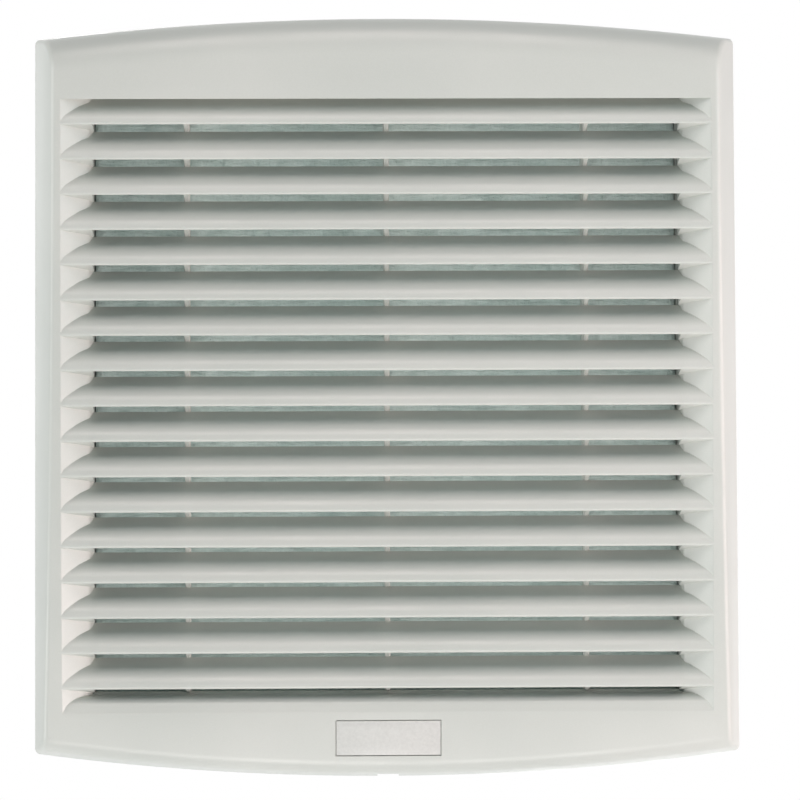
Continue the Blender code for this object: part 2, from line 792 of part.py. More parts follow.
def build_deck():
    flange = 0.002
    border = rounded(COLLAR_HALF - 0.0005, COLLAR_HALF - 0.0035, 0.004)
    deck = slab(border, DECK_FRONT, DECK_FRONT + flange)
    fuse(deck, slab(rounded(DECK_HALF, DECK_HALF, 0.006), DECK_FRONT + flange / 2, DECK_BACK))
    hollow = DECK_HALF - DECK_WALL
    cut(deck, slab(rounded(hollow, hollow, 0.004), DECK_FRONT - 0.001, DECK_BACK - DECK_WALL))
    bore = FAN_BORE + 0.0005
    bell = turned([
        (bore, DECK_BACK - 0.0001),
        (bore, DECK_BACK - 0.005),
        (bore + 0.0015, DECK_BACK - 0.0072),
        (bore + 0.0045, DECK_BACK - 0.0082),
        (bore + 0.0050, DECK_BACK - 0.0068),
        (bore + 0.0029, DECK_BACK - 0.0056),
        (bore + 0.0020, DECK_BACK - 0.0040),
        (bore + 0.0020, DECK_BACK - 0.0001),
    ], 48)
    fuse(deck, bell)
    cut(deck, disc(bore, DECK_BACK - 0.006, DECK_BACK + 0.001, 48))
    ribs = []
    for sx in SIDES:
        for sz in SIDES:
            xs = sorted((sx * (DECK_HALF - 0.0105), sx * (DECK_HALF - 0.0008)))
            zs = sorted((sz * DECK_RIB_Z, sz * (DECK_RIB_Z + 0.0016)))
            ribs.append(((xs[0], DECK_FRONT + 0.004, zs[0]), (xs[1], DECK_BACK - 0.001, zs[1])))
    fuse(deck, boxes(ribs))
    cut(deck, pegs(fan_holes(), DECK_BACK - 0.004, DECK_BACK + 0.001, 0.0021))
    cut(deck, pegs(four(BOSS_X, BOSS_Z), DECK_FRONT - 0.001, DECK_FRONT + 0.004, 0.0017))
    finish(deck, "fan_deck", ABS_FRAME)
    seat = DECK_FRONT + flange + GAP
    for number, (x, z) in enumerate(four(BOSS_X, BOSS_Z), 1):
        screw("deck_screw_" + str(number), (x, seat, z), 1, 0.0028, 0.0019, 0.0012, 0.0095, STEEL)


# a disc with its axis along Y
def disc(radius, low, high, sides):
    return bars([((0, low, 0), (0, high, 0))], radius, sides)


def build_fan_frame():
    wall = 0.0021
    flange = 0.0036
    body = turned([
        (FAN_BORE, FAN_FRONT),
        (FAN_FLANGE, FAN_FRONT),
        (FAN_FLANGE, FAN_FRONT + flange),
        (FAN_BORE + wall, FAN_FRONT + flange),
        (FAN_BORE + wall, FAN_BACK - flange),
        (FAN_FLANGE, FAN_BACK - flange),
        (FAN_FLANGE, FAN_BACK),
        (FAN_BORE, FAN_BACK),
    ], 48)
    reach = FAN_FLANGE + 0.002
    trims = []
    for side in (-1, 1):
        zs = sorted((side * FAN_FLAT, side * reach))
        trims.append(((-reach, FAN_FRONT - 0.001, zs[0]), (reach, FAN_BACK + 0.001, zs[1])))
    cut(body, boxes(trims))
    base = FAN_BACK - 0.0015 - MOTOR_BASE
    motor = disc(HUB_RADIUS - 0.003, base, base + MOTOR_BASE, 40)
    fuse(motor, disc(TUBE_OUTER, TUBE_FRONT, base + 0.001, 24))
    struts = bmesh.new()
    half = 0.0028
    start, end = HUB_RADIUS - 0.008, FAN_BORE + 0.001
    corners = [(start, -half), (end, -half), (end, half), (start, half)]
    for k in range(4):
        ring = turned_points(corners, radians(45 + 90 * k))
        loft_into(struts, [[(a, y, b) for a, b in ring] for y in (base, base + MOTOR_BASE)])
    fuse(motor, from_bmesh(struts))
    fuse(body, motor)
    cut(body, disc(TUBE_INNER, TUBE_FRONT - 0.003, FAN_BACK + 0.001, 24))
    cut(body, pegs(fan_holes(), FAN_FRONT - 0.001, FAN_BACK + 0.001, 0.0019))
    finish(body, "fan_frame", DIE_CAST)
    front = DECK_BACK - DECK_WALL - GAP
    rear = FAN_BACK + GAP + 2 * WIRE + GAP
    for number, (x, z) in enumerate(fan_holes(), 1):
        screw("fan_screw_" + str(number), (x, front, z), -1, 0.0034, 0.0022, 0.0016, 0.0075, STEEL)
        screw("guard_screw_" + str(number), (x, rear, z), 1, 0.0035, 0.0022, 0.0016, 0.0075, STEEL)


# one fan blade: curved, twisted and thin, from inside the hub wall to the tip
def blade_rings(angle):
    rings = []
    stations = 5
    middle = ROTOR_FRONT + ROTOR_LENGTH / 2 - 0.0015
    for k in range(stations):
        t = k / (stations - 1)
        radius = HUB_RADIUS - 0.0008 + (BLADE_TIP - HUB_RADIUS + 0.0008) * t
        pitch = radians(52 - 20 * t)
        chord = BLADE_CHORD + 0.006 * t
        camber = 0.0032
        top, low = [], []
        for j in range(6):
            s = j / 5
            bow = camber * 4 * s * (1 - s)
            thick = 0.0011 * (1.15 - 0.75 * s) * (0.75 if j == 0 else 1.0)
            along = (s - 0.5) * chord
            for row, lift in ((top, bow + thick), (low, bow - thick)):
                around = along * cos(pitch) - lift * sin(pitch)
                row.append((around, along * sin(pitch) + lift * cos(pitch)))
        ring = []
        for around, axial in top + list(reversed(low)):
            turn = angle + around / radius + radians(6) * t
            ring.append((radius * cos(turn), middle + axial, radius * sin(turn)))
        rings.append(ring)
    return rings


def build_rotor():
    face = ROTOR_FRONT
    hub_end = face + ROTOR_LENGTH - 0.002
    mouth = 0.021
    hub = turned([
        (mouth, face),
        (HUB_RADIUS - 0.003, face),
        (HUB_RADIUS, face + 0.003),
        (HUB_RADIUS, hub_end),
        (HUB_RADIUS - HUB_WALL, hub_end),
        (HUB_RADIUS - HUB_WALL, face + HUB_WALL),
        (mouth, face + HUB_WALL),
    ], 40)
    shape = bmesh.new()
    for k in range(BLADE_COUNT):
        loft_into(shape, blade_rings(2 * pi * k / BLADE_COUNT))
    fuse(hub, from_bmesh(shape))
    centre = (0.0, face, 0.0)
    finish(hub, "impeller", GLASS_FILLED, centre)
    outer = HUB_RADIUS - HUB_WALL - GAP
    front = face + HUB_WALL + GAP
    cup_end = front + ROTOR_LENGTH - 0.010
    boss = 0.0062
    cup = turned([
        (SHAFT_RADIUS + 0.0001, front),
        (outer - 0.002, front),
        (outer, front + 0.002),
        (outer, cup_end),
        (outer - CUP_WALL, cup_end),
        (outer - CUP_WALL, front + 0.0018),
        (boss, front + 0.0018),
        (boss, front + 0.005),
        (SHAFT_RADIUS + 0.0001, front + 0.005),
    ], 40)
    finish(cup, "rotor_cup", STEEL, centre)
    end = FAN_BACK - 0.0025
    groove = SHAFT_RADIUS - 0.0004
    shaft = turned_solid([
        (SHAFT_RADIUS - 0.0006, front + 0.0006),
        (SHAFT_RADIUS, front + 0.0012),
        (SHAFT_RADIUS, end - 0.0022),
        (groove, end - 0.0022),
        (groove, end - 0.0014),
        (SHAFT_RADIUS, end - 0.0014),
        (SHAFT_RADIUS, end - 0.0006),
        (SHAFT_RADIUS - 0.0006, end),
    ], 16)
    finish(shaft, "shaft", STEEL, centre)
    low, high = end - 0.0021, end - 0.0015
    bore, rim = SHAFT_RADIUS - 0.0002, SHAFT_RADIUS + 0.0016
    ring = turned([(bore, low), (rim, low), (rim, high), (bore, high)], 16)
    cut(ring, boxes([((-0.0008, end - 0.003, 0.0), (0.0008, end, 0.006))]))
    finish(ring, "retaining_ring", STEEL, centre)
    build_bearing("bearing_front", TUBE_FRONT + 0.0015)
    build_bearing("bearing_rear", end - 0.0075)
    build_stator(front + 0.009, front + ROTOR_LENGTH - 0.005)


# a ball bearing as one body, with the shallow groove of its shields
def build_bearing(name, low):
    high = low + 0.005
    inner = SHAFT_RADIUS + 0.0001
    span = TUBE_INNER - 0.0001 - inner
    groove = 0.0004
    section = [
        (0.0, low),
        (0.27, low),
        (0.35, low + groove),
        (0.61, low + groove),
        (0.69, low),
        (1.0, low),
        (1.0, high),
        (0.69, high),
        (0.61, high - groove),
        (0.35, high - groove),
        (0.27, high),
        (0.0, high),
    ]
    finish(turned([(inner + span * t, y) for t, y in section], 20), name, STEEL)


# the wound core on the bearing tube, with its slots
def build_stator(low, high):
    bore = TUBE_OUTER + GAP
    outer = STATOR_RADIUS
    shoulder = outer - 0.004
    stator = turned([
        (bore, low),
        (shoulder - 0.005, low),
        (shoulder, low + 0.002),
        (shoulder, low + 0.006),
        (outer, low + 0.006),
        (outer, high - 0.006),
        (shoulder, high - 0.006),
        (shoulder, high - 0.002),
        (shoulder - 0.005, high),
        (bore, high),
    ], 36)
    half = 0.001
    start, end = outer - 0.006, outer + 0.001
    corners = [(start, -half), (end, -half), (end, half), (start, half)]
    slots = bmesh.new()
    for k in range(8):
        angle = 2 * pi * (k + 0.5) / 8
        ring = turned_points(corners, angle)
        loft_into(slots, [[(a, y, b) for a, b in ring] for y in (low - 0.001, high + 0.001)])
    cut(stator, from_bmesh(slots))
    finish(stator, "stator", COPPER)


# flat points turned about the origin
def turned_points(points, angle):
    c, s = cos(angle), sin(angle)
    return [(a * c - b * s, a * s + b * c) for a, b in points]


# an outline of (radius, y) points turned about Y into a body without a bore
def turned_solid(outline, sides):
    shape = bmesh.new()
    rows = []
    for radius, y in outline:
        row = []
        for k in range(sides):
            angle = 2 * pi * k / sides
            row.append(shape.verts.new((radius * cos(angle), y, radius * sin(angle))))
        rows.append(row)
    for one, two in zip(rows, rows[1:]):
        for k in range(sides):
            nxt = (k + 1) % sides
            shape.faces.new((one[k], one[nxt], two[nxt], two[k]))
    shape.faces.new(rows[0])
    shape.faces.new(list(reversed(rows[-1])))
    return from_bmesh(shape)


def wire_ring(radius, y, sides, centre=(0.0, 0.0)):
    section = 5
    outline = []
    for k in range(section):
        angle = 2 * pi * k / section
        outline.append((radius + WIRE * cos(angle), y + WIRE * sin(angle)))
    return turned(outline, sides, centre)


def build_guard():
    plane = FAN_BACK + GAP + WIRE
    front = plane + GUARD_LIFT
    outer = FAN_BORE + 0.001
    inner = 0.2 * outer
    pitch = (outer - inner) / (GUARD_RINGS - 1)
    guard = wire_ring(inner, front, 20)
    for k in range(1, GUARD_RINGS):
        fuse(guard, wire_ring(inner + k * pitch, front, 32))
    behind = Y * (front - 0.0015)
    for x, z in fan_holes():
        direction = Vector((x, 0.0, z)).normalized()
        start = direction * (inner - 0.0006)
        bend = direction * (outer + 0.0012)
        eye = Vector((x, 0.0, z)) - direction * 0.0040
        spoke = bars([(start + behind, bend + behind)], WIRE, 6)
        fuse(spoke, bars([(bend + behind - direction * 0.0006, eye + Y * plane)], WIRE, 6))
        fuse(spoke, wire_ring(0.0034, plane, 12, (x, z)))
        fuse(guard, spoke)
    finish(guard, "finger_guard", WIRE_STEEL)


def build_terminals():
    front = DECK_BACK + GAP
    half_x, half_z, height = TERMINAL_PITCH + 0.0065, 0.0065, 0.0155
    back = front + height
    block = boxes([(
        (TERMINAL_X - half_x, front, TERMINAL_Z - half_z),
        (TERMINAL_X + half_x, back, TERMINAL_Z + half_z),
    )])
    wires = []
    wells = []
    screws = []
    for k in (-1, 0, 1):
        x = TERMINAL_X + k * TERMINAL_PITCH
        y = front + 0.005
        wires.append(((x, y, TERMINAL_Z - half_z - 0.001), (x, y, TERMINAL_Z + half_z - 0.003)))
        wells.append(((x, y, TERMINAL_Z), (x, back + 0.001, TERMINAL_Z)))
        screws.append((x, back - 0.005, TERMINAL_Z))
    cut(block, bars(wires, 0.0021, 12), bars(wells, 0.0023, 12))
    grooves = []
    for k in (-0.5, 0.5):
        x = TERMINAL_X + k * TERMINAL_PITCH
        grooves.append((
            (x - 0.0005, back - 0.004, TERMINAL_Z - half_z - 0.001),
            (x + 0.0005, back + 0.001, TERMINAL_Z + half_z + 0.001),
        ))
    cut(block, boxes(grooves))
    finish(block, "terminal_block", POLYAMIDE)
    for number, place in enumerate(screws, 1):
        screw("terminal_screw_" + str(number), place, 1, 0.0020, 0.0014, 0.0014, 0.006, BRASS)


clear_file()
PARTS = bpy.data.collections.new("cabinet_filter_fan")
CUTTERS = bpy.data.collections.new("cutters")
bpy.context.scene.collection.children.link(PARTS)
bpy.context.scene.collection.children.link(CUTTERS)
ABS_LIGHT = make_material("abs_light_grey", (0.60, 0.61, 0.59), 0.0, 0.42)
ABS_FRAME = make_material("abs_frame_grey", (0.56, 0.57, 0.55), 0.0, 0.5)
LABEL_GREY = make_material("label_grey", (0.62, 0.63, 0.61), 0.0, 0.5)
FOAM_BLACK = make_material("foam_black", (0.02, 0.02, 0.02), 0.0, 0.9)
FIBRE = make_material("filter_fibre", (0.62, 0.64, 0.62), 0.0, 0.95)
STEEL = make_material("zinc_steel", (0.62, 0.62, 0.6), 1.0, 0.35)
WIRE_STEEL = make_material("guard_wire", (0.55, 0.55, 0.55), 1.0, 0.3)
DIE_CAST = make_material("die_cast_black", (0.03, 0.03, 0.032), 0.0, 0.5)
GLASS_FILLED = make_material("impeller_black", (0.025, 0.025, 0.027), 0.0, 0.45)
COPPER = make_material("stator_winding", (0.45, 0.2, 0.1), 0.6, 0.5)
POLYAMIDE = make_material("polyamide_white", (0.7, 0.69, 0.65), 0.0, 0.45)
BRASS = make_material("terminal_brass", (0.75, 0.6, 0.3), 1.0, 0.3)

build_cover()
build_mounting_frame()
build_gasket()
build_filter_mat()
build_claws()
build_deck()
build_fan_frame()
build_rotor()
build_guard()
build_terminals()
bpy.context.view_layer.update()
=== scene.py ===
import math
import random

import bmesh
import bpy
from mathutils import Matrix, Vector, noise


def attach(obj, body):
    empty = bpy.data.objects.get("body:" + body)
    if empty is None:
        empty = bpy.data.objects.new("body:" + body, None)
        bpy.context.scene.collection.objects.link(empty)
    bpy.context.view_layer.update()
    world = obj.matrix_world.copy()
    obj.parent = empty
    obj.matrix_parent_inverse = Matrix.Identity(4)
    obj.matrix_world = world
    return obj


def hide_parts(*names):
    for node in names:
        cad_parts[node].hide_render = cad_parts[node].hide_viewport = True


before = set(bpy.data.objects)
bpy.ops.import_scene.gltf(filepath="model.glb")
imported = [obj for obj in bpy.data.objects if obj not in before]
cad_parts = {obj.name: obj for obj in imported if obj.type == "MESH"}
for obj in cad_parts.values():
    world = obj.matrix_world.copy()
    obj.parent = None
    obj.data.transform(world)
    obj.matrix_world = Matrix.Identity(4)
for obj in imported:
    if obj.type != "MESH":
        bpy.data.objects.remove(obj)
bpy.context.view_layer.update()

scene = bpy.context.scene


# shader wiring
class Wire:  # one output socket; arithmetic on its values adds the Math nodes
    def __init__(self, board, socket):
        self.board, self.socket = board, socket

    def combine(self, how, other, flip=False):
        first, second = (other, self) if flip else (self, other)
        made = self.board.add("ShaderNodeMath", {"operation": how}, {0: first, 1: second})
        return Wire(self.board, made.outputs[0])

    def __add__(self, other):
        return self.combine("ADD", other)

    def __radd__(self, other):
        return self.combine("ADD", other, True)

    def __mul__(self, other):
        return self.combine("MULTIPLY", other)

    def __rmul__(self, other):
        return self.combine("MULTIPLY", other, True)


class Board:  # the nodes of one finish
    def __init__(self, name):
        self.material = bpy.data.materials.new(name)
        self.material.use_nodes = True
        self.nodes = self.material.node_tree.nodes
        self.links = self.material.node_tree.links
        self.shader = self.nodes["Principled BSDF"]
        self.place = None

    def feed(self, node, key, value):
        target = node.inputs[key]
        if isinstance(value, Wire):
            self.links.new(value.socket, target)
        elif isinstance(value, (tuple, list)) and len(value) == 3 and target.type == "RGBA":
            target.default_value = (*value, 1.0)
        else:
            target.default_value = value

    def add(self, kind, settings=None, values=None):
        node = self.nodes.new(kind)
        for key, value in (settings or {}).items():
            setattr(node, key, value)
        for key, value in (values or {}).items():
            self.feed(node, key, value)
        return node

    def mixColour(self, factor, first, second):  # 6, 7 and 2 are this node's colour sockets
        made = self.add("ShaderNodeMix", {"data_type": "RGBA"}, {0: factor, 6: first, 7: second})
        return Wire(self, made.outputs[2])

    def spot(self):  # the point in metres on the resting part
        if self.place is None:
            self.place = Wire(self, self.add("ShaderNodeTexCoord").outputs["Object"])
        return self.place

    def stretched(self, by):
        made = self.add("ShaderNodeVectorMath", {"operation": "MULTIPLY"}, {0: self.spot(), 1: by})
        return Wire(self, made.outputs[0])

    def reach(self):  # metres from the middle of the part
        made = self.add("ShaderNodeVectorMath", {"operation": "LENGTH"}, {0: self.spot()})
        return Wire(self, made.outputs["Value"])

    def grain(self, scale, detail=3.0, rough=0.55, where=None):
        values = {"Vector": where or self.spot(), "Scale": scale, "Detail": detail, "Roughness": rough}
        return Wire(self, self.add("ShaderNodeTexNoise", None, values).outputs[0])

    def span(self, value, low, high, start=0.0, end=1.0):
        values = {0: value, 1: low, 2: high, 3: start, 4: end}
        return Wire(self, self.add("ShaderNodeMapRange", None, values).outputs[0])

    def bump(self, height, strength, distance, under=None):
        values = {"Height": height, "Strength": strength, "Distance": distance}
        if under:
            values["Normal"] = under
        return Wire(self, self.add("ShaderNodeBump", None, values).outputs[0])

    def finish(self, colour, roughness=None, normal=None, **fixed):
        pairs = (("Base Color", colour), ("Roughness", roughness), ("Normal", normal))
        for key, value in pairs:
            if value is not None:
                self.feed(self.shader, key, value)
        for key, value in fixed.items():
            self.shader.inputs[key.replace("_", " ")].default_value = value
        return self.material


def linear(red, green, blue):  # the sRGB curve, from 0..255 to the values that nodes use
    made = []
    for part in (red, green, blue):
        part /= 255
        made.append(part / 12.92 if part <= 0.04045 else ((part + 0.055) / 1.055) ** 2.4)
    return tuple(made)


finishes = {
    "coverColour": linear(214, 216, 210), "coverShade": linear(208, 211, 205),
    "frameColour": linear(205, 206, 202), "frameShade": linear(196, 197, 193),
    "natural": linear(222, 220, 208), "naturalShade": linear(208, 205, 190),
    "labelLight": linear(222, 222, 218), "labelDark": linear(214, 214, 210),
    "fibreLight": linear(238, 252, 249), "fibreDark": linear(203, 222, 218),
    "foamLight": linear(62, 62, 64), "foamDark": linear(30, 30, 32),
    "zinc": linear(196, 196, 190), "zincDark": linear(168, 168, 160),
    "chrome": linear(206, 207, 206), "chromeDark": linear(176, 178, 178),
    "brass": linear(205, 172, 104), "brassDark": linear(176, 142, 80),
    "coatLight": linear(46, 47, 49), "coatDark": linear(32, 33, 35),
    "blade": linear(34, 35, 37), "bladeShade": linear(27, 28, 30),
    "copper": linear(168, 92, 52), "copperDark": linear(110, 52, 26),
}


plastic = {  # texture scales, and for each bump its strength and depth in metres
    "driftScale": 14.0, "speckScale": 2600.0, "speckWhite": 0.06, "dullScale": 45.0,
    "sparkScale": 1700.0, "sparkBump": 0.16, "sparkDepth": 0.00012,
    "rippleScale": 90.0, "rippleBump": 0.05, "rippleDepth": 0.0006,
}


def mouldedPlastic(name, colour, shade, rough, texture=1.0):
    board = Board(name)
    drift = board.grain(plastic["driftScale"], 2.0)
    speck = board.grain(plastic["speckScale"], 2.0)
    tone = board.span(drift, 0.35, 0.65)
    body = board.mixColour(tone, shade, colour)
    body = board.mixColour(board.span(speck, 0.3, 0.7, 0.0, plastic["speckWhite"]), body, (1.0, 1.0, 1.0))
    spark = board.grain(plastic["sparkScale"], 4.0, 0.6)
    ripple = board.grain(plastic["rippleScale"], 2.0)
    normal = board.bump(spark, plastic["sparkBump"] * texture, plastic["sparkDepth"])
    normal = board.bump(ripple, plastic["rippleBump"] * texture, plastic["rippleDepth"], normal)
    dull = board.span(board.grain(plastic["dullScale"]), 0.3, 0.7, rough - 0.05, rough + 0.06)
    return board.finish(body, dull, normal, IOR=1.5)


coverPlastic = mouldedPlastic("cover_plastic", finishes["coverColour"], finishes["coverShade"], 0.33)
framePlastic = mouldedPlastic("frame_plastic", finishes["frameColour"], finishes["frameShade"], 0.55, 0.7)
naturalNylon = mouldedPlastic("natural_nylon", finishes["natural"], finishes["naturalShade"], 0.4, 0.4)


def labelFinish():
    board = Board("blank_label")
    sheen = board.grain(900.0, 2.0)
    body = board.mixColour(board.span(sheen, 0.3, 0.7), finishes["labelDark"], finishes["labelLight"])
    normal = board.bump(board.grain(300.0, 3.0), 0.04, 0.0003)
    return board.finish(body, board.span(sheen, 0.2, 0.8, 0.34, 0.42), normal)


felt = {
    "acrossScale": 900.0, "acrossStretch": (1.0, 1.0, 0.3), "acrossShare": 0.3,
    "alongScale": 620.0, "alongStretch": (0.12, 1.0, 1.0), "alongShare": 0.7,
    "cloudScale": 120.0, "cloudShare": 0.35, "weaveShare": 0.65,
    "weaveBump": 0.9, "weaveDepth": 0.0012, "cloudBump": 0.5, "cloudDepth": 0.003,
}


def feltFinish():
    board = Board("filter_felt")
    across = board.grain(felt["acrossScale"], 4.0, 0.65, board.stretched(felt["acrossStretch"]))
    along = board.grain(felt["alongScale"], 4.0, 0.65, board.stretched(felt["alongStretch"]))
    cloud = board.grain(felt["cloudScale"])
    weave = across * felt["acrossShare"] + along * felt["alongShare"]
    tone = board.span(weave * felt["weaveShare"] + cloud * felt["cloudShare"], 0.36, 0.62)
    body = board.mixColour(tone, finishes["fibreDark"], finishes["fibreLight"])
    normal = board.bump(weave, felt["weaveBump"], felt["weaveDepth"])
    normal = board.bump(cloud, felt["cloudBump"], felt["cloudDepth"], normal)
    return board.finish(body, board.span(cloud, 0.2, 0.8, 0.86, 0.98), normal)


def foamFinish():
    board = Board("cellular_foam")
    cells = Wire(board, board.add("ShaderNodeTexVoronoi", {"feature": "F1"}, {
        "Vector": board.spot(), "Scale": 1500.0}).outputs["Distance"])
    body = board.mixColour(board.span(cells, 0.1, 0.7), finishes["foamDark"], finishes["foamLight"])
    return board.finish(body, board.span(cells, 0.0, 0.8, 0.8, 0.95), board.bump(cells, 0.5, 0.0004))


metal = {"cloudScale": 70.0, "cloudShare": 0.6, "lineScale": 260.0, "lineShare": 0.4, "bump": 0.12}


def metalFinish(name, colour, dark, rough):
    board = Board(name)
    cloud = board.grain(metal["cloudScale"], 4.0)
    lines = board.grain(metal["lineScale"], 3.0, 0.6)
    tone = board.span(cloud * metal["cloudShare"] + lines * metal["lineShare"], 0.35, 0.65)
    dull = board.span(cloud, 0.3, 0.7, rough - 0.06, rough + 0.08)
    normal = board.bump(lines, metal["bump"], 0.0002)
    return board.finish(board.mixColour(tone, dark, colour), dull, normal, Metallic=1.0)


def coatFinish():
    board = Board("powder_coat")
    peel = board.grain(620.0, 3.0, 0.6)
    cloud = board.grain(30.0, 3.0)
    body = board.mixColour(board.span(cloud, 0.3, 0.7), finishes["coatDark"], finishes["coatLight"])
    normal = board.bump(peel, 0.35, 0.0003)
    return board.finish(body, board.span(peel, 0.3, 0.7, 0.4, 0.56), normal)


labelSatin = labelFinish()
filterFelt = feltFinish()
cellularFoam = foamFinish()
zincPlate = metalFinish("zinc_plate", finishes["zinc"], finishes["zincDark"], 0.32)
wireChrome = metalFinish("guard_chrome", finishes["chrome"], finishes["chromeDark"], 0.2)
terminalBrass = metalFinish("terminal_brass", finishes["brass"], finishes["brassDark"], 0.3)
powderCoat = coatFinish()
impellerNylon = mouldedPlastic("impeller_nylon", finishes["blade"], finishes["bladeShade"], 0.42, 0.8)


def windingFinish():
    board = Board("enamel_winding")
    turns = Wire(board, board.add("ShaderNodeTexWave", {"bands_direction": "Y"}, {
        "Vector": board.spot(), "Scale": 1400.0, "Distortion": 1.5}).outputs["Fac"])
    body = board.mixColour(turns, finishes["copperDark"], finishes["copper"])
    normal = board.bump(turns, 0.6, 0.0003)
    return board.finish(body, board.span(turns, 0.0, 1.0, 0.3, 0.45), normal, Metallic=0.7)


enamelWinding = windingFinish()
print("finishes ready")


# mesh helpers
def keepMesh(shape, name, finish, smoothAngle=35.0):
    bmesh.ops.recalc_face_normals(shape, faces=shape.faces)
    mesh = bpy.data.meshes.new(name)
    shape.to_mesh(mesh)
    shape.free()
    piece = bpy.data.objects.new(name, mesh)
    scene.collection.objects.link(piece)
    if finish:
        mesh.materials.append(finish)
    softShade(piece, smoothAngle)
    return piece


def softShade(piece, angle=35.0):
    mesh = piece.data
    mesh.polygons.foreach_set("use_smooth", [True] * len(mesh.polygons))
    mesh.set_sharp_from_angle(angle=math.radians(angle))


def skinRings(shape, rings):  # closed rings joined one after another, with a cap at both ends
    rows = [[shape.verts.new(point) for point in ring] for ring in rings]
    for one, two in zip(rows, rows[1:]):
        for k in range(len(one)):
            after = (k + 1) % len(one)
            shape.faces.new((one[k], one[after], two[after], two[k]))
    shape.faces.new(rows[0])
    shape.faces.new(list(reversed(rows[-1])))


def ringSolid(rings):
    shape = bmesh.new()
    skinRings(shape, rings)
    return keepMesh(shape, "blank", None)


def applyModifiers(piece):
    graph = bpy.context.evaluated_depsgraph_get()
    mesh = bpy.data.meshes.new_from_object(piece.evaluated_get(graph))
    piece.modifiers.clear()
    piece.data = mesh
    return piece


def boolean(piece, tool, how):
    step = piece.modifiers.new("step", "BOOLEAN")
    step.operation, step.solver, step.object = how, "EXACT", tool
    applyModifiers(piece)
    bpy.data.objects.remove(tool, do_unlink=True)


def edgeRound(piece, width, angle=35.0):
    soft = piece.modifiers.new("soft_edges", "BEVEL")
    soft.width, soft.segments, soft.limit_method = width, 2, "ANGLE"
    soft.angle_limit = math.radians(angle)
    soft.use_clamp_overlap = True
    return piece


def curveValue(a, b, c, d, t):  # Catmull-Rom, from b at t = 0 to c at t = 1
    square = (2 * a - 5 * b + 4 * c - d) * t * t
    return 0.5 * (2 * b + (c - a) * t + square + (3 * b - a - 3 * c + d) * t ** 3)


def smoothLine(points, steps):  # a smooth curve through the points
    made = []
    ends = [tuple(2 * a - b for a, b in zip(points[0], points[1]))]
    tail = [tuple(2 * a - b for a, b in zip(points[-1], points[-2]))]
    full = ends + list(points) + tail
    for k in range(1, len(full) - 2):
        p0, p1, p2, p3 = full[k - 1:k + 3]
        for j in range(steps):
            t = j / steps
            made.append(tuple(curveValue(*part, t) for part in zip(p0, p1, p2, p3)))
    made.append(tuple(points[-1]))
    return made


# front cover
cover = {
    "width": 0.248, "height": 0.268, "wall": 0.0022,
    "rimY": -0.003, "crest": 0.0195, "crestZ": 0.100, "crown": 2.745,
    "topSag": 0.00745, "bottomSag": 0.0085,
    "sideDraft": math.radians(20.5), "topDraft": math.radians(9.0), "bottomDraft": math.radians(12.0),
    "topRoll": 0.0135, "bottomRoll": 0.0055, "edgeRound": 0.0016,
    "notchHalf": 0.00375, "notchDeep": 0.0045, "notchHigh": 0.00125,
    "acrossSteps": 40, "faceSteps": 30, "rollSteps": 12, "footSteps": 7,
}
louvre = {
    "count": 17, "pitch": 0.0123, "topZ": 0.0941, "depth": 0.0094, "rise": 0.0108,
    "openHalf": 0.1137, "throatHalf": 0.1028, "openTop": 0.1029, "openSoft": 0.0002,
    "kneeDepth": 0.0070, "kneeHalf": 0.1040,
    "ribPitch": 0.06993, "ribWidth": 0.002, "ribBack": -0.0009, "lipRadius": 0.0005, "lipTop": 0.10,
    "footerLift": 0.31, "footerBack": 0.685, "roofSlope": 0.45,
    "wallFront": 0.0011, "wall": 0.002, "wallDrop": 0.0013, "wallLead": 0.0005,
}
label = {
    "half": 0.0185, "low": -0.1264, "high": -0.1138, "sunk": 0.0009, "gap": 0.0003,
    "front": 0.0001, "back": 0.0006, "edge": 0.00015,
}
past = 0.001  # how far a cutter reaches past what it cuts


def faceDepth(z):
    drop = max(0.0, cover["crestZ"] - z)
    return cover["crest"] - drop * drop / (2 * cover["crown"])


def behindFace(x, depth, z):
    return (x, cover["rimY"] - faceDepth(z) + depth, z)


def bowed(x, sag):  # how far the bowed edge falls back at x
    half = cover["width"] / 2
    radius = (half * half + sag * sag) / (2 * sag)
    return radius - math.sqrt(radius * radius - x * x)


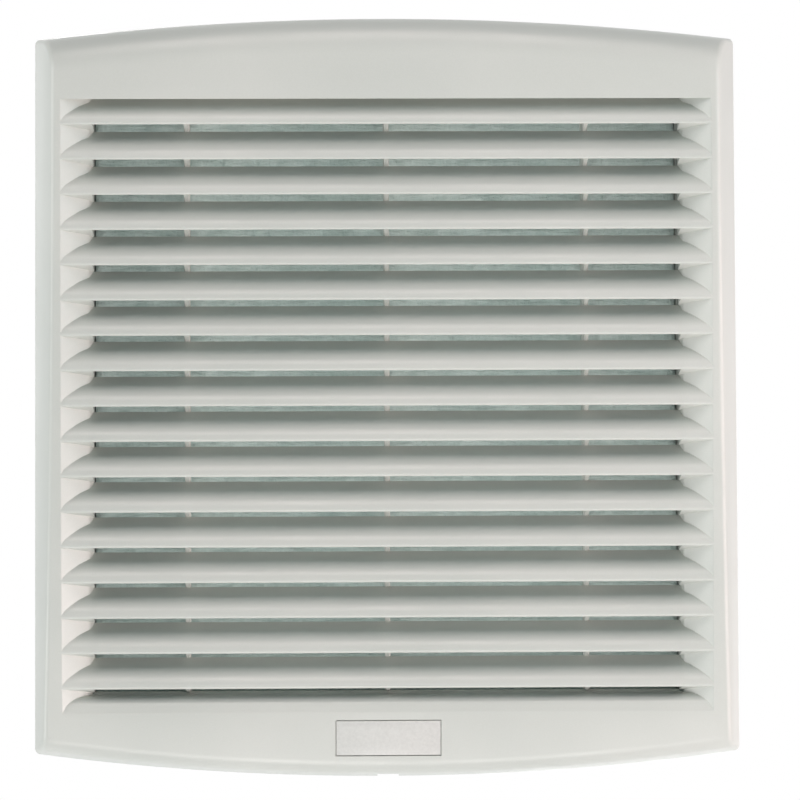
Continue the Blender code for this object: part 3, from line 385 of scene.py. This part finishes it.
def coverProfile(x, inset, start):
    topDraft, bottomDraft = cover["topDraft"], cover["bottomDraft"]
    top = cover["height"] / 2 - bowed(x, cover["topSag"]) - inset / math.cos(topDraft)
    low = -cover["height"] / 2 + bowed(x, cover["bottomSag"]) + inset / math.cos(bottomDraft)
    points = [(start, top - start * math.tan(topDraft))]
    roll = cover["topRoll"] - inset
    centreD = cover["crest"] - inset - roll
    centreZ = top - (centreD + roll * math.sin(topDraft)) * math.tan(topDraft) - roll * math.cos(topDraft)
    for k in range(cover["rollSteps"] + 1):
        angle = topDraft + (math.pi / 2 - topDraft) * k / cover["rollSteps"]
        points.append((centreD + roll * math.sin(angle), centreZ + roll * math.cos(angle)))
    roll = cover["bottomRoll"] - inset
    lowZ = low + roll
    for _ in range(8):  # settles the centre of the roll at the foot
        slope = math.atan((cover["crestZ"] - lowZ) / cover["crown"])
        lowD = faceDepth(lowZ - roll * math.sin(slope)) - inset - roll * math.cos(slope)
        reach = (lowD + roll * math.sin(bottomDraft)) * math.tan(bottomDraft)
        lowZ = low + reach + roll * math.cos(bottomDraft)
    faceEnd = lowZ - roll * math.sin(slope)
    for k in range(1, cover["faceSteps"]):
        z = centreZ + (faceEnd - centreZ) * k / cover["faceSteps"]
        points.append((faceDepth(z) - inset, z))
    for k in range(cover["footSteps"] + 1):
        angle = math.pi / 2 + slope + (math.pi / 2 - bottomDraft - slope) * k / cover["footSteps"]
        points.append((lowD + roll * math.sin(angle), lowZ + roll * math.cos(angle)))
    points.append((start, low + start * math.tan(bottomDraft)))
    return points


def coverForm(inset, start):  # the right half, then mirrored
    rings = []
    for k in range(cover["acrossSteps"] // 2 + 1):
        u = 2 * k / cover["acrossSteps"]
        ring = []
        for depth, z in coverProfile(u * cover["width"] / 2, inset, start):
            half = cover["width"] / 2 - inset / math.cos(cover["sideDraft"])
            half -= depth * math.tan(cover["sideDraft"])
            ring.append((u * half, cover["rimY"] - depth, z))
        rings.append(ring)
    shape = bmesh.new()
    skinRings(shape, rings)
    middle = [f for f in shape.faces if all(abs(v.co.x) < 1e-7 for v in f.verts)]
    bmesh.ops.delete(shape, geom=middle, context="FACES_ONLY")
    if inset == 0.0:
        bmesh.ops.recalc_face_normals(shape, faces=shape.faces)
        rim = [f for f in shape.faces if all(abs(v.co.y - cover["rimY"]) < 1e-7 for v in f.verts)]
        bmesh.ops.dissolve_faces(shape, faces=rim)
        edges = set()
        for cap in [f for f in shape.faces if len(f.verts) == len(rings[0])]:
            edges.update(e for e in cap.edges if any(v.co.y < cover["rimY"] - 1e-6 for v in e.verts))
        bmesh.ops.bevel(
            shape, geom=list(edges), offset=cover["edgeRound"], segments=5, profile=0.5,
            affect="EDGES", clamp_overlap=True)
    every = list(shape.verts) + list(shape.edges) + list(shape.faces)
    bmesh.ops.mirror(shape, geom=every, matrix=Matrix.Identity(4), axis="X", merge_dist=1e-6)
    return keepMesh(shape, "blank", None)


def openHalf(depth):  # the end wall slants in, then steepens
    knee, half = louvre["kneeDepth"], louvre["kneeHalf"]
    if depth < knee:
        return louvre["openHalf"] - depth * (louvre["openHalf"] - half) / knee
    return half - (depth - knee) * (half - louvre["throatHalf"]) / (louvre["depth"] - knee)


def louvreLine(shares, steps):  # from shares of the louvre's depth and rise
    return smoothLine([(louvre["depth"] * d, louvre["rise"] * h) for d, h in shares], steps)


footerZ = louvre["topZ"] - (louvre["count"] - louvre["footerLift"]) * louvre["pitch"]
footerTop = louvreLine([
    (0, 0), (0.056, 0.12), (0.133, 0.287), (0.22, 0.38), (0.322, 0.463), (0.462, 0.528), (0.6, 0.556),
    (0.823, 0.583), (1, louvre["footerBack"])], 3)
bladeTop = louvreLine([(0, 0.09), (0.07, 0.24), (0.21, 0.40), (0.48, 0.635), (0.72, 0.785), (1, 1)], 4)
bladeUnder = louvreLine([(0.05, 0.02), (0.20, 0.19), (0.49, 0.445), (0.74, 0.60), (1, 0.81)], 3)


def footerHeight(depth):
    for (d0, h0), (d1, h1) in zip(footerTop, footerTop[1:]):
        if d0 <= depth <= d1:
            return h0 + (h1 - h0) * (depth - d0) / max(d1 - d0, 1e-9)
    return footerTop[-1][1] + (depth - footerTop[-1][0]) * 0.6 if depth > 0 else footerTop[0][1]


def tunnelWalls(front, back, wall, drop):  # the walls round the louvres, behind the face
    steps = 36
    rings = []
    lead = louvre["wallLead"]
    slope = (louvre["rise"] * louvre["footerBack"] - 2 * lead) / louvre["depth"]
    for k in range(steps + 1):
        ring = []
        for depth in (front, louvre["kneeDepth"], back):
            low = footerZ + lead + depth * slope - drop
            high = louvre["openTop"] + depth * louvre["roofSlope"] + wall
            z = low + (high - low) * k / steps
            ring.append(behindFace(openHalf(depth) + wall, depth, z))
        rings.append(ring + [(-x, y, z) for x, y, z in reversed(ring)])
    return ringSolid(rings)


def openingCutter():  # wider at the face, so that the edge of the opening is soft
    soft, steps = louvre["openSoft"], 40
    depths = [-3 * past, -0.4 * past]
    depths += [soft * (1 - math.cos(math.radians(a))) for a in (0, 20, 40, 60, 75, 90)]
    inside = [d for d, _ in footerTop if d > soft * 1.3]
    depths += sorted(inside + [louvre["kneeDepth"], louvre["depth"] + 2 * past])
    rings = []
    for depth in depths:
        flare = 0.0
        if depth < soft:
            lean = math.acos(1 - max(0.0, depth) / soft)
            flare = soft * (1 - math.sin(lean))
        half = openHalf(max(depth, 0.0)) + flare
        low = footerZ + footerHeight(max(depth, 0.0)) - flare * 0.5
        high = louvre["openTop"] + max(depth, 0.0) * louvre["roofSlope"] + flare
        column = [low + (high - low) * k / steps for k in range(steps + 1)]
        ring = [behindFace(half, depth, z) for z in column]
        ring += [behindFace(-half, depth, z) for z in reversed(column)]
        rings.append(ring)
    return ringSolid(rings)


def padInFace(half, low, high, front, back):
    steps = 4
    rings = []
    for depth in (front, back):
        ring = []
        for side in (-1, 1):
            for k in range(steps + 1):
                t = k / steps if side < 0 else 1 - k / steps
                ring.append(behindFace(side * half, depth, low + (high - low) * t))
        rings.append(ring)
    return ringSolid(rings)


def blockBetween(low, high):
    shape = bmesh.new()
    size, centre = Vector(high) - Vector(low), (Vector(high) + Vector(low)) / 2
    place = Matrix.Translation(centre) @ Matrix.Diagonal((*size, 1.0))
    bmesh.ops.create_cube(shape, size=1.0, matrix=place)
    return keepMesh(shape, "blank", None)


def buildCoverSkin():
    skin = coverForm(0.0, 0.0)
    boolean(skin, coverForm(cover["wall"], -2 * past), "DIFFERENCE")
    walls = tunnelWalls(louvre["wallFront"], louvre["depth"], louvre["wall"], louvre["wallDrop"])
    boolean(skin, walls, "UNION")
    boolean(skin, openingCutter(), "DIFFERENCE")
    recess = padInFace(label["half"], label["low"], label["high"], -past, label["sunk"])
    boolean(skin, recess, "DIFFERENCE")
    foot = -cover["height"] / 2
    notchStart = (-cover["notchHalf"], cover["rimY"] - cover["notchDeep"], foot - past)
    notchEnd = (cover["notchHalf"], cover["rimY"] + past, foot + cover["notchHigh"])
    boolean(skin, blockBetween(notchStart, notchEnd), "DIFFERENCE")
    skin.name = skin.data.name = "cover_skin"
    skin.data.materials.clear()
    skin.data.materials.append(coverPlastic)
    softShade(skin, 32)
    return skin


coverSkin = buildCoverSkin()
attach(coverSkin, "cover")
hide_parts("front_cover")
print("cover skin ready:", len(coverSkin.data.polygons), "faces")


# one curved blade, its ends filled down to a web that meets the next blade
def bladeInto(shape, z):
    radius = louvre["lipRadius"]
    top = [(0.0, louvre["rise"] * louvre["lipTop"])] + bladeTop[1:]
    lip = []
    for degrees in (90, 60, 30, 0):
        turn = math.radians(degrees)
        lip.append((radius * (1 - math.cos(turn)), radius * (1 - math.sin(turn))))
    under = list(reversed(bladeUnder))
    overlap, sink = 0.0001, 0.001
    web = (louvre["depth"], louvre["rise"] - louvre["pitch"] - overlap)
    inner = louvre["throatHalf"] - 2 * overlap
    middle = inner + overlap

    def ringAt(points, halfAt):
        return [behindFace(halfAt(d), d, z + h) for d, h in points]

    wedge = top + [under[0], web] + lip
    for side in (-1, 1):
        skinRings(shape, [
            ringAt(wedge, lambda d: side * (openHalf(d) + sink)), ringAt(wedge, lambda d: side * inner)])
    blade = top + under + lip
    skinRings(shape, [ringAt(blade, lambda d: -middle), ringAt(blade, lambda d: middle)])


def buildBlades():
    shape = bmesh.new()
    for k in range(louvre["count"]):
        bladeInto(shape, louvre["topZ"] - k * louvre["pitch"])
    return keepMesh(shape, "louvre_blades", coverPlastic, 40)


louvreBlades = buildBlades()
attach(louvreBlades, "cover")


webSides = (  # share of the half width, and how far the under edge is lifted there
    (-1, 0.0003), (-0.9, 0.0001), (-0.65, 0), (0, 0.00015), (0.65, 0), (0.9, 0.0001), (1, 0.0003))
webOutline = (  # shares of the louvre's depth and rise
    (0.06, 0.12), (0.49, 0.5), (1.05, 0.9), (1.05, -0.15), (0.97, -0.15), (0.5, -0.04), (0.06, 0.04))


# the rib under one blade: it slants back from the lip and grows thinner
def webInto(shape, x, z):
    rings = []
    for side, lift in webSides:
        ring = []
        for d, h in webOutline:
            half = louvre["ribWidth"] * (0.5 - 0.2 * d)
            rise = louvre["rise"] * h + (lift if h < 0.1 else 0.0)
            ring.append(behindFace(x + side * half, louvre["depth"] * d, z + rise))
        rings.append(ring)
    skinRings(shape, rings)


ribFront = (  # shares of the rib's width and of the louvre's depth
    (-0.5, 1.03), (-0.36, 1.005), (0.36, 1.005), (0.5, 1.03))


def buildRibs():  # they reach back until they almost touch the filter mat
    shape = bmesh.new()
    low, high = footerZ + louvre["rise"] * 0.6, louvre["openTop"] + 0.0015
    width, steps = louvre["ribWidth"], 30
    for k in (-1, 0, 1):
        middle = k * louvre["ribPitch"]
        rings = []
        for j in range(steps + 1):
            z = low + (high - low) * j / steps
            ring = []
            for across, depth in ribFront:
                ring.append(behindFace(middle + across * width, depth * louvre["depth"], z))
            for across in (0.4, -0.4):
                ring.append((middle + across * width, louvre["ribBack"], z))
            rings.append(ring)
        skinRings(shape, rings)
        for number in range(louvre["count"]):
            webInto(shape, middle, louvre["topZ"] - number * louvre["pitch"])
    return keepMesh(shape, "louvre_ribs", coverPlastic)


louvreRibs = buildRibs()
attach(louvreRibs, "cover")


def buildLabel():
    gap = label["gap"]
    low, high = label["low"] + gap, label["high"] - gap
    plate = padInFace(label["half"] - gap, low, high, label["front"], label["back"])
    plate.name = plate.data.name = "blank_label"
    plate.data.materials.append(labelSatin)
    return applyModifiers(edgeRound(plate, label["edge"]))


blankLabel = buildLabel()
softShade(blankLabel)
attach(blankLabel, "cover")
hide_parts("label_plate")
print("louvres, ribs and label ready")


# filter mat
mat = {
    "halfX": 0.103, "halfZ": 0.106, "front": 0.0005, "back": 0.0129, "cell": 0.0016, "loft": 0.0007,
    "softEdge": 0.004, "edgeSag": 0.0016, "lay": 0.0004, "fluffScale": 260,
    "fibres": 2600, "seed": 11, "margin": 0.006, "shortest": 0.005, "longest": 0.013,
    "curl": 1.4, "stray": 0.0001, "dip": 0.0011, "fibreHalf": 0.00007,
}


def buildFilter():
    shape = bmesh.new()
    countX, countZ = int(2 * mat["halfX"] / mat["cell"]), int(2 * mat["halfZ"] / mat["cell"])
    sheets = []
    for level, away in ((mat["front"], -1), (mat["back"], 1)):
        sheet = []
        for i in range(countX + 1):
            row = []
            for j in range(countZ + 1):
                x = -mat["halfX"] + 2 * mat["halfX"] * i / countX
                z = -mat["halfZ"] + 2 * mat["halfZ"] * j / countZ
                edge = min(mat["halfX"] - abs(x), mat["halfZ"] - abs(z))
                sag = max(0.0, 1 - edge / mat["softEdge"]) ** 2 * mat["edgeSag"]
                point = Vector((x, level, z)) * mat["fluffScale"]
                fluff = noise.fractal(point, 0.7, 2.1, 4) * mat["loft"]
                row.append(shape.verts.new((x, level - away * (sag + mat["lay"] + fluff), z)))
            sheet.append(row)
        sheets.append(sheet)
    for sheet in sheets:
        for i in range(countX):
            for j in range(countZ):
                shape.faces.new((sheet[i][j], sheet[i + 1][j], sheet[i + 1][j + 1], sheet[i][j + 1]))
    loops = []
    for sheet in sheets:
        loop = [sheet[i][0] for i in range(countX)] + [sheet[countX][j] for j in range(countZ)]
        loop += [sheet[i][countZ] for i in range(countX, 0, -1)] + [sheet[0][j] for j in range(countZ, 0, -1)]
        loops.append(loop)
    for k in range(len(loops[0])):
        after = (k + 1) % len(loops[0])
        shape.faces.new((loops[0][k], loops[0][after], loops[1][after], loops[1][k]))
    return keepMesh(shape, "filter_felt", filterFelt, 80)


filterPiece = buildFilter()
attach(filterPiece, "frame")
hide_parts("filter_mat")


def buildFibres():  # loose curved fibres that lie on the front of the mat
    dice = random.Random(mat["seed"])
    shape = bmesh.new()
    steps, width = 4, mat["fibreHalf"]
    spanX, spanZ = mat["halfX"] - mat["margin"], mat["halfZ"] - mat["margin"]
    for _ in range(mat["fibres"]):
        x = dice.uniform(-spanX, spanX)
        z = dice.uniform(-spanZ, spanZ)
        angle, length = dice.uniform(0, math.tau), dice.uniform(mat["shortest"], mat["longest"])
        turn = dice.uniform(-mat["curl"], mat["curl"])
        rings = []
        for k in range(steps + 1):
            t = k / steps
            level = mat["front"] - mat["stray"] + mat["dip"] * abs(2 * t - 1) ** 1.5
            level += dice.uniform(-mat["stray"], mat["stray"])
            point = Vector((x, level, z))
            side = Vector((-math.sin(angle), 0, math.cos(angle)))
            rings.append([point + side * width, point - Vector((0, width, 0)), point - side * width])
            x += math.cos(angle) * length / steps
            z += math.sin(angle) * length / steps
            angle += turn / steps
        skinRings(shape, rings)
    return keepMesh(shape, "filter_fibres", filterFelt, 80)


filterFibres = buildFibres()
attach(filterFibres, "frame")
print("filter mat ready")


# fan, with blades and guard, and the edges that a mould or a press leaves
def turnedInto(shape, outline, sides, centre=(0.0, 0.0)):  # (radius, y) points about a line along Y
    rows = []
    for k in range(sides):
        x, z = math.cos(math.tau * k / sides), math.sin(math.tau * k / sides)
        rows.append([shape.verts.new((centre[0] + r * x, y, centre[1] + r * z)) for r, y in outline])
    for k in range(sides):
        one, two = rows[k], rows[(k + 1) % sides]
        for j in range(len(outline)):
            after = (j + 1) % len(outline)
            shape.faces.new((one[j], one[after], two[after], two[j]))


def tubeInto(shape, points, radius, sides):  # a round wire along a path
    rings = []
    up = None
    for k, point in enumerate(points):
        ahead = (points[min(k + 1, len(points) - 1)] - points[max(k - 1, 0)]).normalized()
        if up is None:
            up = ahead.orthogonal().normalized()
        up = (up - ahead * up.dot(ahead)).normalized()
        side = ahead.cross(up)
        ring = []
        for j in range(sides):
            angle = math.tau * j / sides
            ring.append(point + (up * math.cos(angle) + side * math.sin(angle)) * radius)
        rings.append(ring)
    skinRings(shape, rings)


fan = {
    "back": 0.0818, "bore": 0.0725, "holeRadius": 0.081, "holeAngle": math.pi / 6,
    "rotorFront": 0.0353, "rotorLength": 0.036,
    "hub": 0.0440075, "hubWall": 0.002, "hubShort": 0.002, "hubRoll": 0.003, "hubEdge": 0.0003,
    "hubMouth": 0.021, "mouthEdge": 0.0004,
    "blades": 7, "tip": 0.071, "sink": 0.0008, "bow": 0.0032, "thick": 0.0011,
    "chordShare": 0.75, "chordGrowth": 0.006, "bladeForward": 0.0015,
    "pitchRoot": 52, "pitchFall": 20, "sweep": 6,  # degrees
}
guard = {
    "wire": 0.001, "rings": 6, "lift": 0.0042, "off": 0.0003, "innerShare": 0.2, "past": 0.001,
    "spokeSink": 0.0015, "spokeEnd": 0.0006, "spokeShort": 0.001, "bend": 0.0012,
    "eyeRadius": 0.0034, "eyeReach": 0.0040,
}


def bladeSection(t, angle):  # t runs from 0 at the hub to 1 at the tip
    radius = fan["hub"] - fan["sink"] + (fan["tip"] - fan["hub"] + fan["sink"]) * t
    pitch = math.radians(fan["pitchRoot"] - fan["pitchFall"] * t)
    chord = fan["rotorLength"] * fan["chordShare"] + fan["chordGrowth"] * t
    middle = fan["rotorFront"] + fan["rotorLength"] / 2 - fan["bladeForward"]
    steps = 14
    upper, lower = [], []
    for j in range(steps + 1):
        s = (1 - math.cos(math.pi * j / steps)) / 2
        bow = fan["bow"] * 4 * s * (1 - s)
        blunt = min(1.0, (s / 0.05) ** 0.5, ((1 - s) / 0.02) ** 0.5)
        thick = fan["thick"] * (1.15 - 0.75 * s) * blunt
        along = (s - 0.5) * chord
        for row, lift in ((upper, bow + thick), (lower, bow - thick)):
            around = along * math.cos(pitch) - lift * math.sin(pitch)
            turn = angle + around / radius + math.radians(fan["sweep"]) * t
            deep = middle + along * math.sin(pitch) + lift * math.cos(pitch)
            row.append((radius * math.cos(turn), deep, radius * math.sin(turn)))
    return upper + list(reversed(lower[1:-1]))


def hubOutline():  # (radius, y) points round the section of the hub
    hub, wall, mouth, roll, edge = (fan[key] for key in ("hub", "hubWall", "hubMouth", "hubRoll", "hubEdge"))
    face, end = fan["rotorFront"], fan["rotorFront"] + fan["rotorLength"] - fan["hubShort"]
    inner = hub - wall
    steps = 8
    outline = [(mouth + fan["mouthEdge"], face), (hub - roll, face)]
    for k in range(1, steps + 1):
        angle = math.radians(90 - 90 * k / steps)
        outline.append((hub - roll + roll * math.cos(angle), face + roll - roll * math.sin(angle)))
    outline += [(hub, end - edge), (hub - edge, end), (inner + edge, end), (inner, end - edge)]
    return outline + [(inner, face + wall), (mouth, face + wall), (mouth, face + fan["mouthEdge"])]


def buildImpeller():
    shape = bmesh.new()
    turnedInto(shape, hubOutline(), 120)
    steps = 16
    for k in range(fan["blades"]):
        angle = math.tau * k / fan["blades"]
        skinRings(shape, [bladeSection(j / steps, angle) for j in range(steps + 1)])
    return keepMesh(shape, "impeller_blades", impellerNylon, 40)


impellerPiece = buildImpeller()
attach(impellerPiece, "rotor")
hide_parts("impeller")


def wireRingInto(shape, radius, y, sides, centre=(0.0, 0.0)):
    section = []
    steps = 12
    for k in range(steps):
        angle = math.tau * k / steps
        section.append((radius + guard["wire"] * math.cos(angle), y + guard["wire"] * math.sin(angle)))
    turnedInto(shape, section, sides, centre)


def spokePath(corner, plane, front, inner, outer):  # along one spoke, then down to the eye at its screw
    steps = 8
    out = corner.normalized()
    level = Vector((0, front - guard["spokeSink"], 0))
    eye = corner + Vector((0, plane, 0)) - out * guard["eyeReach"]
    bend = out * (outer + guard["bend"]) + level
    points = [out * (inner - guard["spokeEnd"]) + level]
    straight = outer - inner - guard["spokeShort"]
    points += [out * (inner + straight * k / steps) + level for k in range(1, steps + 1)]
    for k in range(steps + 1):
        t = k / steps
        points.append((bend - out * guard["bend"]).lerp(bend, t).lerp(bend.lerp(eye, t), t))
    return points


def buildGuard():
    shape = bmesh.new()
    plane = fan["back"] + guard["off"] + guard["wire"]
    front = plane + guard["lift"]
    outer = fan["bore"] + guard["past"]
    inner = guard["innerShare"] * outer
    for k in range(guard["rings"]):
        wireRingInto(shape, inner + (outer - inner) * k / (guard["rings"] - 1), front, 144)
    reachX = fan["holeRadius"] * math.cos(fan["holeAngle"])
    reachZ = fan["holeRadius"] * math.sin(fan["holeAngle"])
    for x, z in ((-reachX, -reachZ), (-reachX, reachZ), (reachX, -reachZ), (reachX, reachZ)):
        tubeInto(shape, spokePath(Vector((x, 0, z)), plane, front, inner, outer), guard["wire"], 12)
        wireRingInto(shape, guard["eyeRadius"], plane, 40, (x, z))
    return keepMesh(shape, "guard_wires", wireChrome, 60)


guardPiece = buildGuard()
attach(guardPiece, "frame")
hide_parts("finger_guard")


# the built shape with smooth edges, rounded where a width is given
def softened(node, body, finish, slotName, width, angle=40.0):
    shape = bmesh.new()
    shape.from_mesh(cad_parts[node].data)
    bmesh.ops.remove_doubles(shape, verts=shape.verts, dist=1e-6)
    flat = math.radians(0.4)
    bmesh.ops.dissolve_limit(shape, angle_limit=flat, verts=shape.verts, edges=shape.edges)
    piece = keepMesh(shape, node + "_shape", finish, angle)
    if width:
        edgeRound(piece, width, angle)
        piece.modifiers["soft_edges"].use_clamp_overlap = False
        piece.modifiers["soft_edges"].harden_normals = True
        applyModifiers(piece)
    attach(piece, body)
    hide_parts(node)
    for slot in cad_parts[node].material_slots:
        slot.material = finish
    return piece


softPieces = [
    ("mounting_frame", "frame", framePlastic, "abs_frame_grey", 0.0002),
    ("fan_deck", "frame", framePlastic, "abs_frame_grey", 0.0003),
    ("fan_frame", "frame", powderCoat, "die_cast_black", 0.0004),
    ("rotor_cup", "rotor", zincPlate, "zinc_steel", 0.0002),
    ("shaft", "rotor", zincPlate, "zinc_steel", 0.0),
    ("retaining_ring", "rotor", zincPlate, "zinc_steel", 0.0),
    ("bearing_front", "frame", zincPlate, "zinc_steel", 0.0),
    ("bearing_rear", "frame", zincPlate, "zinc_steel", 0.0),
    ("stator", "frame", enamelWinding, "stator_winding", 0.0002),
    ("terminal_block", "frame", naturalNylon, "polyamide_white", 0.0003),
]
for number in ("1", "2", "3", "4"):
    softPieces.append(("spring_claw_" + number, "claw_" + number, framePlastic, "abs_frame_grey", 0.0002))
    for place in ("deck", "fan", "guard"):
        softPieces.append((place + "_screw_" + number, "frame", zincPlate, "zinc_steel", 0.00012))
for number in ("1", "2", "3"):
    softPieces.append(("terminal_screw_" + number, "frame", terminalBrass, "terminal_brass", 0.0001))
for row in softPieces:
    softened(*row)
gasketPiece = softened("gasket", "frame", cellularFoam, "foam_black", 0.0006)
for node, finish in (
        ("front_cover", coverPlastic), ("label_plate", labelSatin), ("filter_mat", filterFelt),
        ("impeller", impellerNylon), ("finger_guard", wireChrome)):
    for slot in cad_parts[node].material_slots:
        slot.material = finish
print("rear pieces ready:", len(softPieces) + 3)


# studio
studio = {
    "floorZ": -1.35, "floorSize": 6.0, "fadeFrom": 1.9, "fadeTo": 3.2,
    "floorLight": linear(242, 242, 242), "floorDark": linear(240, 240, 240),
    "skyColour": (0.25, 0.85, 1.0), "ambient": 0.06,
}


def buildFloor():  # a pale square that fades out towards its edges
    shape = bmesh.new()
    half = studio["floorSize"] / 2
    corners = ((-half, -half), (half, -half), (half, half), (-half, half))
    shape.faces.new([shape.verts.new((x, y, studio["floorZ"])) for x, y in corners])
    board = Board("studio_floor")
    tone = board.span(board.grain(3.0, 2.0), 0.3, 0.7)
    fade = board.span(board.reach(), studio["fadeFrom"], studio["fadeTo"], 1.0, 0.0)
    board.feed(board.shader, "Alpha", fade)
    board.finish(board.mixColour(tone, studio["floorDark"], studio["floorLight"]), Roughness=0.8)
    return keepMesh(shape, "studio_floor", board.material)


buildFloor()


def setWorld():  # white to the camera and in reflections, a faint tint as light on the part
    world = bpy.data.worlds.new("studio_world")
    scene.world = world
    world.use_nodes = True
    sky = world.node_tree
    for node in list(sky.nodes):
        sky.nodes.remove(node)
    path = sky.nodes.new("ShaderNodeLightPath")
    seen = path.outputs["Is Camera Ray"]
    for ray in ("Is Glossy Ray", "Is Transmission Ray"):
        joined = sky.nodes.new("ShaderNodeMath")
        joined.operation = "MAXIMUM"
        sky.links.new(seen, joined.inputs[0])
        sky.links.new(path.outputs[ray], joined.inputs[1])
        seen = joined.outputs[0]
    light = sky.nodes.new("ShaderNodeBackground")
    light.inputs["Color"].default_value = (*studio["skyColour"], 1.0)
    light.inputs["Strength"].default_value = studio["ambient"]
    white = sky.nodes.new("ShaderNodeBackground")
    white.inputs["Color"].default_value = (1.0, 1.0, 1.0, 1.0)
    mix = sky.nodes.new("ShaderNodeMixShader")
    sky.links.new(seen, mix.inputs[0])
    sky.links.new(light.outputs[0], mix.inputs[1])
    sky.links.new(white.outputs[0], mix.inputs[2])
    out = sky.nodes.new("ShaderNodeOutputWorld")
    sky.links.new(mix.outputs[0], out.inputs["Surface"])


setWorld()

lamps = {  # degrees round from the front, degrees up, metres away, disc size, watts, colour
    "left_bank_low": (-76, -12, 3.0, 0.8, 18.0, (1.0, 0.98, 0.98)),
    "left_bank_high": (-76, 10, 3.0, 0.8, 17.0, (1.0, 0.98, 0.98)),
    "left_high": (-60, 30, 1.5, 0.7, 3.2, (1.0, 1.0, 0.96)),
    "right_bank_low": (60, -15, 1.0, 0.47, 4.0, (1.0, 0.83, 0.82)),
    "right_bank_high": (60, 15, 1.0, 0.47, 1.15, (0.6, 0.94, 1.0)),
    "right_side": (80, 5, 0.9, 0.42, 1.65, (1.0, 0.76, 0.74)),
    "right_key": (40, 40, 1.0, 0.47, 1.35, (1.0, 0.9, 0.9)),
    "overhead": (0, 65, 1.5, 0.7, 5.2, (1.0, 0.88, 0.86)),
    "front_low": (0, -38, 1.5, 0.7, 7.1, (1.0, 0.96, 0.94)),
    "back_left": (-165, 5, 2.4, 1.4, 24.0, (1.0, 1.0, 1.0)),
    "back_right": (165, -8, 2.4, 1.4, 12.0, (1.0, 1.0, 1.0)),
    "floor_wash": (0, -90, 0.6, 8.0, 70.0, (1.0, 1.0, 1.0)),
}


# every lamp faces the part, but the wash under it faces the floor
def softLamp(name, azimuth, elevation, away, size, power, colour):
    lamp = bpy.data.lights.new(name, "AREA")
    lamp.shape, lamp.size, lamp.energy, lamp.color = "DISK", size, power, colour
    holder = bpy.data.objects.new(name, lamp)
    around, above = math.radians(azimuth), math.radians(elevation)
    level = math.cos(above)
    place = Vector((math.sin(around) * level, -math.cos(around) * level, math.sin(above))) * away
    holder.location = place
    aim = place if name == "floor_wash" else -place
    holder.rotation_euler = aim.to_track_quat("-Z", "Y").to_euler()
    holder.visible_camera = False
    scene.collection.objects.link(holder)


for lampName, lampRow in lamps.items():
    softLamp(lampName, *lampRow)


# camera, from edge points measured in the photograph
view = {
    "below": math.radians(2.506), "left": math.radians(1.106), "roll": math.radians(0.258),
    "distance": 1.1669, "focal": 3290.2, "centreX": 386.19, "centreY": 395.85, "image": 800,
}


def setCamera():
    right = Vector((math.cos(view["left"]), -math.sin(view["left"]), 0))
    deep = Vector((math.sin(view["left"]), math.cos(view["left"]), 0))
    up = Vector((0, 0, math.cos(view["below"]))) - deep * math.sin(view["below"])
    forward = Vector((0, 0, math.sin(view["below"]))) + deep * math.cos(view["below"])
    cosRoll, sinRoll = math.cos(view["roll"]), math.sin(view["roll"])
    right, up = right * cosRoll - up * sinRoll, right * sinRoll + up * cosRoll
    lens = bpy.data.cameras.new("photo_view")
    lens.sensor_width, lens.sensor_fit = 36.0, "HORIZONTAL"
    lens.lens = view["focal"] / view["image"] * lens.sensor_width
    lens.shift_x = (view["image"] / 2 - view["centreX"]) / view["image"]
    lens.shift_y = (view["centreY"] - view["image"] / 2) / view["image"]
    lens.clip_start, lens.clip_end = 0.05, 30.0
    holder = bpy.data.objects.new("photo_view", lens)
    turn = Matrix((right, up, -forward)).transposed().to_4x4()
    holder.matrix_world = Matrix.Translation(-forward * view["distance"]) @ turn
    scene.collection.objects.link(holder)
    scene.camera = holder


setCamera()
scene.view_settings.view_transform = "Standard"
print("studio and camera ready")
